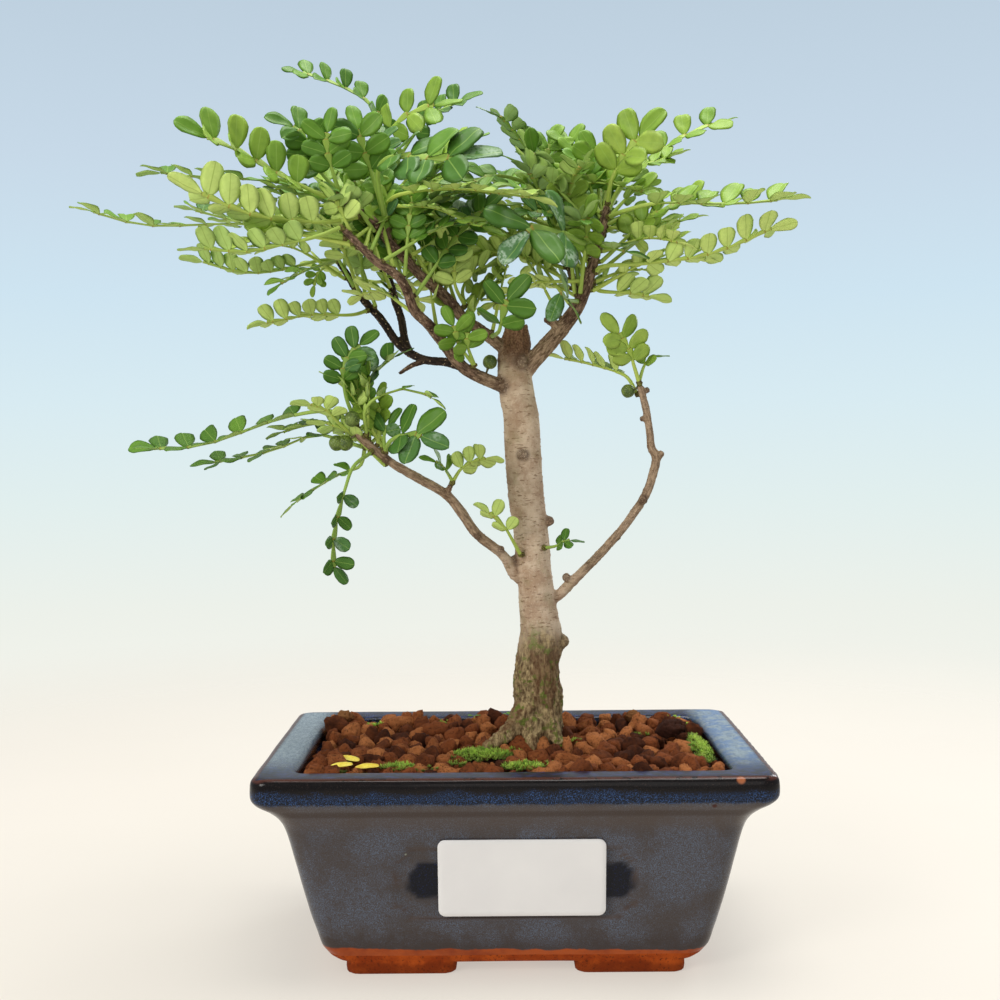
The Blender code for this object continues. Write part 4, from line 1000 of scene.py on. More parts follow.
def bark_push(place, grain, tone, mossy):
    """How far the bark stands out here, in millimetres."""
    trunk_share = ease(tone, 0.35, 0.15)
    level = Vector((place.x * 0.32, place.y * 0.32, place.z * 1.25))
    ridges = ease(noise.noise(level * 1.1), 0.18, 0.55) * 0.16
    swell = 0.16 * wave(place, 7, 4)
    scales = 0.10 * noise.fractal(place * 0.9, 1.0, 2.0, 3)
    splinters = noise.noise(Vector((place.x * 0.9, place.y * 0.9, 3)))
    broken = 1.3 * ease(place.z, SAWN_TOP, SAWN_TOP + 3) * splinters
    trunk = ridges + swell + scales + broken
    fibre = Vector((grain.x * 1.6, grain.y * 1.6, grain.z * 0.35))
    cracks = -0.16 * ease(abs(noise.noise(fibre)), 0.16, 0.0)
    limb = cracks + 0.10 * noise.fractal(grain * 1.3, 1.0, 2.0, 2)
    strands = Vector((place.x * 0.9, place.y * 0.9, place.z * 0.28 + 0.8 * noise.noise(place * 0.2)))
    foot = 0.65 * noise.fractal(strands, 0.9, 2.0, 4) + 0.35 * wave(place, 4, 9)
    push = trunk_share * trunk + (1 - trunk_share) * limb
    return push + mossy * foot


def dress_wood(mesh, skeleton):
    tree, bones = bark_lookup(skeleton)
    scar_tree = kdtree.KDTree(len(KNOBS))
    for index, (across, down, depth, _) in enumerate(KNOBS):
        scar_tree.insert(sight(across, down, depth), index)
    scar_tree.balance()
    tones, grains, mosses, scars = new_attributes(mesh, {
        "bark_tone_and_shade": "FLOAT", "bark_grain": "FLOAT_VECTOR", "moss_share": "FLOAT", "scar": "FLOAT",
    })
    moved = []
    for index, vert in enumerate(mesh.vertices):
        place = vert.co.copy()
        tone, grain = bark_at(place, tree, bones)
        mossy = ease(place.z + 6 * wave(place, 9, 6), *MOSSY_FOOT) * ease(tone, 0.5, 0.2)
        tones[index].value = tone
        grains[index].vector = grain
        mosses[index].value = mossy
        _, knob, away = scar_tree.find(place)
        scars[index].value = ease(away / KNOBS[knob][3], 1.7, 0.8)
        moved.append(place + vert.normal * bark_push(place, grain, tone, mossy))
    for vert, place in zip(mesh.vertices, moved):
        vert.co = place


dress_wood(wood_mesh, skeleton)
print("bark pushed out on", len(wood_mesh.vertices), "points")


# %% The bark's colours
def make_bark():
    finish = Finish("bark", 0.85, 0.25)
    tone = finish.attribute("bark_tone_and_shade")
    mossy = finish.attribute("moss_share")
    grain = finish.attribute("bark_grain", "Vector")
    cloud = finish.step(finish.grain(0.13, 4, 0.65), 0.36, 0.64)
    fine = finish.grain(1.8, 4, 0.7)
    pale = finish.blend(cloud, (172, 144, 118), (208, 186, 160))
    pale = finish.over(pale, finish.step(fine, 0.5, 0.72), 0.5, (224, 208, 188))
    dashes = finish.step(finish.grain(1.5, 3, 0.55, (0.3, 0.3, 1.15), warp=0.4), 0.585, 0.65)
    pale = finish.over(pale, dashes, 0.75, (122, 92, 64))
    green = finish.both(finish.step(finish.grain(0.2, 3), 0.50, 0.68), 0.25)
    pale = finish.blend(green, pale, (132, 128, 84))
    z = finish.height()
    middle = finish.both(finish.step(z, 128, 150), finish.step(finish.grain(0.09, 3), 0.36, 0.56))
    pale = finish.over(pale, middle, 0.35, (134, 106, 80))
    worn = finish.step(finish.calc("ADD", z, finish.both(finish.grain(0.16, 3), 12)), SAWN_TOP, SAWN_TOP + 8)
    cut_wood = finish.blend(finish.step(fine, 0.3, 0.7), (78, 52, 36), (140, 106, 78))
    pale = finish.blend(worn, pale, cut_wood)
    streak = finish.grain(1.4, 4, 0.7, (1, 1, 0.28), grain)
    grey_brown = finish.blend(finish.step(streak, 0.36, 0.66), (100, 78, 58), (172, 146, 118))
    red_brown = finish.blend(finish.step(streak, 0.36, 0.66), (66, 48, 36), (146, 118, 95))
    # Near-black bark for the highest tones; on the thin limbs at the back this is painted shade.
    black_brown_and_painted_shade = finish.blend(finish.step(streak, 0.36, 0.7), (24, 16, 12), (66, 48, 38))
    colour = finish.blend(finish.step(tone, 0.12, 0.32), pale, grey_brown)
    colour = finish.blend(finish.step(tone, 0.36, 0.58), colour, red_brown)
    colour = finish.blend(finish.step(tone, 0.74, 0.95), colour, black_brown_and_painted_shade)
    scar = finish.both(finish.attribute("scar"), finish.step(fine, 0.30, 0.55))
    colour = finish.over(colour, scar, 0.75, (64, 40, 28))
    dots = finish.both(finish.step(finish.cells(0.9, (1, 1, 0.6), grain), 0.24, 0.14), 0.8)
    colour = finish.blend(finish.both(dots, finish.step(tone, 0.2, 0.5)), colour, (172, 146, 118))
    strand = finish.grain(1.0, 5, 0.7, (1, 1, 0.4))
    rough_foot = finish.blend(finish.step(strand, 0.34, 0.66), (78, 58, 36), (172, 150, 108))
    flakes = finish.step(finish.grain(0.11, 3, 0.6, (1, 1, 0.6)), 0.46, 0.60)
    rough_foot = finish.over(rough_foot, flakes, 0.6, (96, 62, 38))
    lichen = finish.step(finish.grain(0.35, 4, 0.65), 0.53, 0.63)
    rough_foot = finish.blend(lichen, rough_foot, finish.blend(fine, (70, 84, 26), (122, 128, 58)))
    colour = finish.blend(mossy, colour, rough_foot)
    finish.colour(colour)
    height = finish.calc("ADD", finish.both(fine, 0.6), finish.both(streak, 0.6))
    finish.relief(finish.calc("SUBTRACT", height, finish.both(dashes, 0.5)), 0.16, 0.8)
    return finish


bark = make_bark()
wood_mesh.materials.append(bark.material)
wood = finished_piece("trunk_with_bark", into_frame(wood_mesh), "trunk_and_branches")
print(wood.name, "faces:", len(wood.data.polygons))

# %% [markdown]
# ## A tree of nodes that scatters things on the ground
# Clods and moss are the same job: many small shapes spread over a sheet so that no two start closer than a
# set distance. Distribute Points on Faces does that with its Poisson method, and each point then gets a
# random shape, turn, size, height and tone. One tree with named inputs serves both.


# %% Geometry Nodes: scatter
def scatter_nodes():
    tree, given = new_nodes_tree("scatter on the ground", {
        "Shapes": "Collection", "Apart": "Float", "Seed": "Int", "Smallest": "Float", "Largest": "Float",
        "Tumble": "Float", "Lift": "Float", "Finish": "Material",
    })

    def chance(kind, low, high, number):
        seed = add_node(tree, "FunctionNodeIntegerMath", {0: given["Seed"], 1: number}, operation="ADD")
        return add_node(tree, "FunctionNodeRandomValue", {
            "Min": low, "Max": high, "Seed": seed.outputs[0],
        }, data_type=kind)

    points = add_node(tree, "GeometryNodeDistributePointsOnFaces", {
        "Mesh": given["Geometry"], "Distance Min": given["Apart"], "Density Max": 4.0, "Seed": given["Seed"],
    }, distribute_method="POISSON")
    rise = chance("FLOAT", 0.0, 1.0, 1).outputs[1]
    rise = add_node(tree, "ShaderNodeMath", {0: rise, 1: given["Lift"]}, operation="MULTIPLY").outputs[0]
    offset = add_node(tree, "ShaderNodeCombineXYZ", {2: rise}).outputs[0]
    lifted = add_node(tree, "GeometryNodeSetPosition", {
        "Geometry": points.outputs["Points"], "Offset": offset,
    })
    roll = chance("FLOAT_VECTOR", (-math.pi,) * 3, (math.pi,) * 3, 2).outputs[0]
    tumble = given["Tumble"]
    share = add_node(tree, "ShaderNodeCombineXYZ", {0: tumble, 1: tumble, 2: 1.0}).outputs[0]
    turn = add_node(tree, "ShaderNodeVectorMath", {0: roll, 1: share}, operation="MULTIPLY").outputs[0]
    shapes = add_node(tree, "GeometryNodeCollectionInfo", {
        "Collection": given["Shapes"], "Separate Children": True, "Reset Children": True,
    })
    placed = add_node(tree, "GeometryNodeInstanceOnPoints", {
        "Points": lifted.outputs[0], "Instance": shapes.outputs[0], "Pick Instance": True,
        "Instance Index": chance("INT", 0, 999, 3).outputs[2], "Rotation": turn,
        "Scale": chance("FLOAT", given["Smallest"], given["Largest"], 4).outputs[1],
    })
    toned = add_node(tree, "GeometryNodeStoreNamedAttribute", {
        "Geometry": placed.outputs[0], "Name": "tone", "Value": chance("FLOAT", 0.0, 1.0, 5).outputs[1],
    }, data_type="FLOAT", domain="INSTANCE")
    solid = add_node(tree, "GeometryNodeRealizeInstances", {0: toned.outputs[0]})
    smooth = add_node(tree, "GeometryNodeSetShadeSmooth", {"Geometry": solid.outputs[0]})
    dressed = add_node(tree, "GeometryNodeSetMaterial", {
        "Geometry": smooth.outputs[0], "Material": given["Finish"],
    })
    add_node(tree, "NodeGroupOutput", {0: dressed.outputs[0]})
    return tree


scatter_tree = scatter_nodes()


def scatter(sheet, shapes, apart, sizes, tumble, lift, finish, seed):
    """Shapes spread over a sheet, which is a bmesh in millimetres and is used up."""
    guide = bpy.data.objects.new("sheet", mesh_of(sheet))
    return grow(guide, scatter_tree, {
        "Shapes": shapes, "Apart": apart, "Seed": seed, "Smallest": sizes[0], "Largest": sizes[1],
        "Tumble": tumble, "Lift": lift, "Finish": finish.material,
    })


print("nodes in the scatter tree:", len(scatter_tree.nodes))

# %% [markdown]
# ## The soil
# The tree stands in fired clay soil: hard, red-brown clods of three to nine millimetres with crumbs
# between them, heaped a little higher at the back. A dark sheet closes the gaps underneath; its near-black
# brown is painted shade, the shade down between the clods. Clods are lumpy balls with a few broken flats,
# in a dozen shapes that are turned all ways.

# %% Where things lie on the soil
SOIL_LEVEL = 58.3
BACK_HEAP = 2.1
BED_TOP = 55.0
OPENING = (63.2, 35.4)
MOUND_RISE = 1.6
MOUND_REACH = 24.0
RESTING_LEVEL = 60.2
MOSS = {
    "moss_middle": ((-9.5, -13.0), (9.5, 7.5), 8), "moss_front": ((3.0, -28.5), (6.5, 4.0), -4),
    "moss_left": ((-34.5, -28.5), (5.5, 3.6), 0), "moss_right": ((59.3, -6.0), (2.7, 18.0), 0),
}
CLODS = {
    "tan_clod": ((-58.0, 28.0), (3.2, 2.9, 2.6)), "round_clod": ((51.0, 6.0), (4.6, 3.6, 3.1)),
    "pale_stone": ((42.0, 28.5), (2.9, 2.5, 2.3)),
}
FALLEN_LEAFLETS = {
    "fallen_leaflet_left": ((-52.0, -28.0), 12), "fallen_leaflet_middle": ((-50.5, -20.5), -24),
    "fallen_leaflet_right": ((-44.0, -29.5), 6),
}
SEEDLINGS = {"seedling_left": ((-13.0, 27.0), 2), "seedling_right": ((-1.0, 29.5), 4)}
FOOT = sight(*TRUNK[0][:3])


def soil_height(x, y):
    """The level of the clods' middles: a mound round the trunk, a heap at the back, and small waves."""
    mound = MOUND_RISE * math.exp(-((x - FOOT.x) ** 2 + (y - FOOT.y) ** 2) / MOUND_REACH**2)
    return SOIL_LEVEL + mound + BACK_HEAP * ease(y, 8, 30) + 0.5 * wave((x, y, 0), 8)


def nearest_thing(x, y, room):
    """How far outside the trunk and all that rests on the soil this is, less ROOM. Below 0 is inside."""
    nearest = math.hypot(x - FOOT.x, y - FOOT.y) - 8.0
    for (middle_x, middle_y), half, _ in MOSS.values():
        share = math.hypot((x - middle_x) / half[0], (y - middle_y) / half[1])
        nearest = min(nearest, (share - 0.9) * min(half))
    for (middle_x, middle_y), size in CLODS.values():
        nearest = min(nearest, math.hypot(x - middle_x, y - middle_y) - size[0])
    for (middle_x, middle_y), _ in FALLEN_LEAFLETS.values():
        nearest = min(nearest, math.hypot((x - middle_x) / 1.6, y - middle_y) - 1.2)
    return nearest - room


def ground_sheet(inset, drop, cell=1.4, room=None):
    """A sheet over the opening at the soil's height less DROP. ROOM leaves it open round what lies there."""
    form = bmesh.new()
    half_x, half_y = OPENING[0] - inset, OPENING[1] - inset
    columns, rows = round(2 * half_x / cell), round(2 * half_y / cell)
    bmesh.ops.create_grid(form, x_segments=columns, y_segments=rows, size=1)
    for vert in form.verts:
        x, y = vert.co.x * half_x, vert.co.y * half_y
        vert.co = (x, y, soil_height(x, y) - drop)
    if room is not None:
        taken = [face for face in form.faces if nearest_thing(*face.calc_center_median().xy, room) < 0]
        bmesh.ops.delete(form, geom=taken, context="FACES")
    return form


def close_down(form, low):
    """Walls and a bottom below a sheet."""
    rim = [edge for edge in form.edges if edge.is_boundary]
    skirt = bmesh.ops.extrude_edge_only(form, edges=rim)["geom"]
    foot = [item for item in skirt if isinstance(item, bmesh.types.BMEdge) and item.is_boundary]
    for edge in foot:
        for vert in edge.verts:
            vert.co.z = low
    bmesh.ops.contextual_create(form, geom=foot)
    bmesh.ops.recalc_face_normals(form, faces=form.faces)


print("soil level at the back and the front:", round(soil_height(0, 32), 1), round(soil_height(0, -32), 1))

# %% Clod shapes and finishes
CLOD_KINDS = 12
CLOD_CHIPS = 5
CRUMB_KINDS = 6
FIRST_CRUMB = 40


def lumpy_clod(seed, stretch, cuts=4):
    """A ball of square faces, stretched, pushed about by noise and broken flat in a few places."""
    form = bmesh.new()
    bmesh.ops.create_cube(form, size=1)
    bmesh.ops.subdivide_edges(form, edges=form.edges, cuts=cuts, use_grid_fill=True)
    dice = random.Random(seed)
    chips = []
    for _ in range(CLOD_CHIPS):
        way = Vector([dice.gauss(0, 1) for _ in range(3)]).normalized()
        chips.append((way, dice.uniform(0.62, 0.9)))
    shift = Vector((3.1 * seed, 0, 0))
    for vert in form.verts:
        place = vert.co.normalized()
        place *= 1 + 0.34 * noise.noise(place * 1.3 + shift) + 0.26 * noise.noise(place * 3.4 + shift)
        for way, reach in chips:
            over = place.dot(way) - reach
            if over > 0:
                place -= way * over * 0.85
        vert.co = Vector(value * size for value, size in zip(place, stretch))
    return form


def shape_collection(name, forms):
    shapes = bpy.data.collections.new(name)
    for number, form in enumerate(forms):
        mesh = mesh_of(form)
        mesh.shade_smooth()
        shapes.objects.link(bpy.data.objects.new(f"{name}_{number:02d}", mesh))
    return shapes


def make_clod_finish(name, tones, depth):
    """Rough fired clay in three tones, from the darkest clod to the palest, with painted shade in its pores
    and in the hollows of its grain.
    """
    finish = Finish(name, 0.95, 0.12)
    fine = finish.grain(1.1, 5, 0.75)
    cloud = finish.grain(0.3, 3, 0.6)
    mixed = finish.calc("ADD", finish.both(cloud, 0.5), finish.both(finish.attribute("tone"), 0.75))
    colour = finish.blend(finish.step(mixed, 0.2, 0.62), tones[0], tones[1])
    colour = finish.blend(finish.step(mixed, 0.62, 1.0), colour, tones[2])
    # Darker where the fine grain dips, which the bump also sinks: painted shade in the hollows.
    colour = finish.blend(finish.both(finish.step(fine, 0.50, 0.34), 0.75), colour, tones[0])
    # The sunk pits take the darkest tone: painted shade in the pores.
    pits = finish.step(finish.cells(1.1), 0.20, 0.06)
    colour = finish.blend(finish.both(pits, 0.6), colour, tones[0])
    finish.colour(colour)
    finish.relief(finish.calc("SUBTRACT", fine, finish.both(pits, 0.4)), depth)
    return finish


def make_shaded_gap_soil():
    finish = Finish("soil_in_painted_shade", 0.92, 0.2)
    fine = finish.grain(1.4, 5, 0.75)
    # Near-black browns: painted shade down in the gaps between the clods.
    colour = finish.blend(finish.step(fine, 0.38, 0.62), (24, 13, 9), (66, 36, 23))
    finish.colour(finish.blend(finish.step(finish.grain(0.2, 3), 0.5, 0.7), colour, (54, 32, 22)))
    finish.relief(fine, 0.5)
    return finish


red_clay = make_clod_finish("red_clay_clod", ((54, 28, 18), (128, 70, 38), (178, 112, 66)), 0.9)
tan_clay = make_clod_finish("tan_clay_clod", ((118, 78, 46), (184, 138, 92), (214, 178, 132)), 0.45)
brown_clay = make_clod_finish("brown_clay_clod", ((54, 30, 22), (104, 60, 42), (136, 88, 62)), 0.6)
shaded_gap_soil = make_shaded_gap_soil()
clod_shapes = shape_collection("clod", [
    lumpy_clod(seed, (1.0 + 0.25 * math.sin(seed), 0.95, 0.80 + 0.12 * math.cos(2 * seed)))
    for seed in range(CLOD_KINDS)
])
crumb_shapes = shape_collection("crumb", [
    lumpy_clod(FIRST_CRUMB + number, (1.1, 0.9, 0.8), cuts=2) for number in range(CRUMB_KINDS)
])

# %% Fill the pot
CLOD_APART = 5.5
CLOD_SIZES = (2.5, 4.3)
CRUMB_APART = 2.6
CRUMB_SIZES = (0.6, 1.5)


def make_soil_sheet():
    form = ground_sheet(0.9, 2.6, cell=1.2)
    for vert in form.verts:
        vert.co.z += 0.5 * noise.noise(vert.co * 0.9)
    close_down(form, BED_TOP + GAP)
    mesh = into_frame(mesh_of(form, [shaded_gap_soil]))
    return finished_piece("soil_between_clods", mesh, "clod_dressing")


def strew(name, sheet, shapes, apart, sizes, lift, seed):
    """Clods or crumbs of red clay over a sheet, turned all ways."""
    mesh = scatter(sheet, shapes, apart, sizes, 1.0, lift, red_clay, seed)
    return finished_piece(name, into_frame(mesh))


soil_sheet = make_soil_sheet()
clod_sheet = ground_sheet(2.2, 1.2, room=1.1)
clods = strew("red_clods", clod_sheet, clod_shapes, CLOD_APART, CLOD_SIZES, 1.9, 4)
crumb_sheet = ground_sheet(0.9, 2.2, room=0.2)
crumbs = strew("red_crumbs", crumb_sheet, crumb_shapes, CRUMB_APART, CRUMB_SIZES, 1.6, 9)
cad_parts["soil_bed"].data.materials.clear()
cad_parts["soil_bed"].data.materials.append(shaded_gap_soil.material)
print("faces:", {piece.name: len(piece.data.polygons) for piece in (soil_sheet, clods, crumbs)})


# %% The single clods and the stone
def make_single_clod(name, middle, size, seed, finish, slot):
    form = lumpy_clod(seed, size, cuts=14)
    for vert in form.verts:
        rough = noise.fractal(vert.co * 0.9 + Vector((seed, 0, 0)), 0.8, 2.0, 4)
        vert.co += vert.co.normalized() * 0.22 * rough
    low = min(vert.co.z for vert in form.verts)
    bmesh.ops.translate(form, vec=(*middle, RESTING_LEVEL - low), verts=form.verts)
    return finished_piece(name + "_rough", into_frame(mesh_of(form, [finish])), name)


single_clods = [
    make_single_clod(name, *CLODS[name], seed, finish, slot)
    for name, seed, finish, slot in (
        ("tan_clod", 61, tan_clay, "clod"), ("round_clod", 65, brown_clay, "clod"),
        ("pale_stone", 67, tan_clay, "stone"),
    )
]
print("single clods:", [clod.name for clod in single_clods])

# %% [markdown]
# ## Moss, seedlings and fallen leaflets
# The moss is made of tiny stars: short pointed leaves that spread from one stem. A few star shapes are
# scattered over each pad, upright and close together, with some loose stars in the gaps between clods.

# %% Moss
STAR_KINDS = 5
MOSS_APART = 1.15
STAR_SIZES = (0.9, 1.7)
FIRST_STAR = 80
LOOSE_MOSS = [
    ((-47.0, 24.0), 2.6), ((-40.0, 27.0), 2.0), ((-24.0, 26.0), 2.2), ((43.0, 14.0), 2.4),
    ((59.0, 22.0), 2.6),
    ((56.0, 30.0), 2.2), ((-2.5, -2.0), 2.4), ((15.0, -2.0), 2.6), ((20.0, 2.0), 2.0), ((-52.0, -30.5), 1.8),
    ((-17.0, -24.0), 2.6), ((-25.0, -30.0), 2.2), ((11.0, -26.0), 2.4), ((1.0, -8.0), 2.4),
]
BLADE_ROWS = ((0.0, 0.05), (0.35, 0.15), (0.7, 0.11), (1.0, 0.0))


def moss_star(seed):
    """Ten pointed blades, each a thin folded leaf closed on all sides, from flat ones to upright ones."""
    form = bmesh.new()
    dice = random.Random(seed)
    count = 10
    for number in range(count):
        facing = 2 * math.pi * (number / count * 2.6) + dice.uniform(-0.3, 0.3)
        rise = math.radians(22 + 58 * number / count + dice.uniform(-8, 8))
        length = dice.uniform(0.8, 1.15)
        out = Vector((math.cos(facing) * math.cos(rise), math.sin(facing) * math.cos(rise), math.sin(rise)))
        across = out.cross(Vector((0, 0, 1))).normalized()
        over = across.cross(out)
        rings = []
        for share, half in BLADE_ROWS[:-1]:
            middle = out * share * length + Vector((0, 0, -0.10 * share**2))
            side, ridge = across * half, over * 0.05
            rings.append([middle + side, middle + ridge, middle - side, middle - ridge])
        rows = [[form.verts.new(place) for place in ring] for ring in rings]
        tip = form.verts.new(out * length)
        for low, high in zip(rows, rows[1:]):
            for i in range(4):
                form.faces.new((low[i], low[(i + 1) % 4], high[(i + 1) % 4], high[i]))
        for i in range(4):
            form.faces.new((rows[-1][i], rows[-1][(i + 1) % 4], tip))
        form.faces.new(rows[0][::-1])
    bmesh.ops.recalc_face_normals(form, faces=form.faces)
    return form


def make_moss_finish():
    finish = Finish("star_moss", 0.7, 0.3)
    cloud = finish.step(finish.grain(0.22, 3), 0.35, 0.65)
    tone = finish.attribute("tone")
    colour = finish.blend(tone, (92, 132, 34), (158, 196, 66))
    colour = finish.over(colour, cloud, 0.5, (196, 214, 96))
    shade = finish.step(finish.height(), 61.6, 59.6)
    colour = finish.over(colour, shade, 0.75, (28, 44, 14))
    finish.colour(colour)
    finish.relief(finish.grain(3.0, 2), 0.05)
    return finish


def moss_pad(middle, half, turn, seed):
    """A bumpy cushion, flat below, as a bmesh."""
    form = bmesh.new()
    bmesh.ops.create_uvsphere(form, u_segments=28, v_segments=16, radius=1)
    bmesh.ops.bisect_plane(
        form, geom=form.verts[:] + form.edges[:] + form.faces[:], plane_co=(0, 0, 0), plane_no=(0, 0, 1),
        clear_inner=True,
    )
    for vert in form.verts:
        swell = 1 + 0.18 * noise.noise(vert.co * 2.2 + Vector((seed, 0, 0)))
        vert.co = Vector((vert.co.x * half[0] * swell, vert.co.y * half[1] * swell, vert.co.z * 1.3))
    form.transform(Matrix.Rotation(math.radians(turn), 4, "Z"))
    bmesh.ops.translate(form, vec=(*middle, RESTING_LEVEL - 0.9), verts=form.verts)
    return form


def make_moss(name, middle, half, turn, seed):
    pad = moss_pad(middle, half, turn, seed)
    stars = scatter(pad, star_shapes, MOSS_APART, STAR_SIZES, 0.07, 0.2, moss, seed)
    return finished_piece(name + "_stars", into_frame(stars), name)


def make_loose_moss():
    form = bmesh.new()
    for (x, y), radius in LOOSE_MOSS:
        made = bmesh.ops.create_circle(form, cap_ends=True, segments=10, radius=radius)["verts"]
        bmesh.ops.translate(form, vec=(x, y, soil_height(x, y) + 0.6), verts=made)
    stars = scatter(form, star_shapes, 1.3, (0.8, 1.5), 0.1, 1.0, moss, 31)
    return finished_piece("loose_moss_stars", into_frame(stars))


star_shapes = shape_collection("star", [moss_star(FIRST_STAR + number) for number in range(STAR_KINDS)])
moss = make_moss_finish()
moss_pieces = [make_moss(name, *values, 20 + seed) for seed, (name, values) in enumerate(MOSS.items())]
moss_pieces.append(make_loose_moss())
print("moss faces:", sum(len(piece.data.polygons) for piece in moss_pieces))

# %% [markdown]
# ## The sprays of leaves
# A Chinese pepper leaf is a jointed stalk with a thin wing, pairs of small round-ended leaflets at its
# joints, and one leaflet at its end. Each row below is one leaf of one bud: how many pairs, how long the
# leaflets are, how far its upper side tilts towards the front, how yellow its green is, its route, how
# steeply its two rows fold up from the stalk, and how far it rolls over round its stalk.

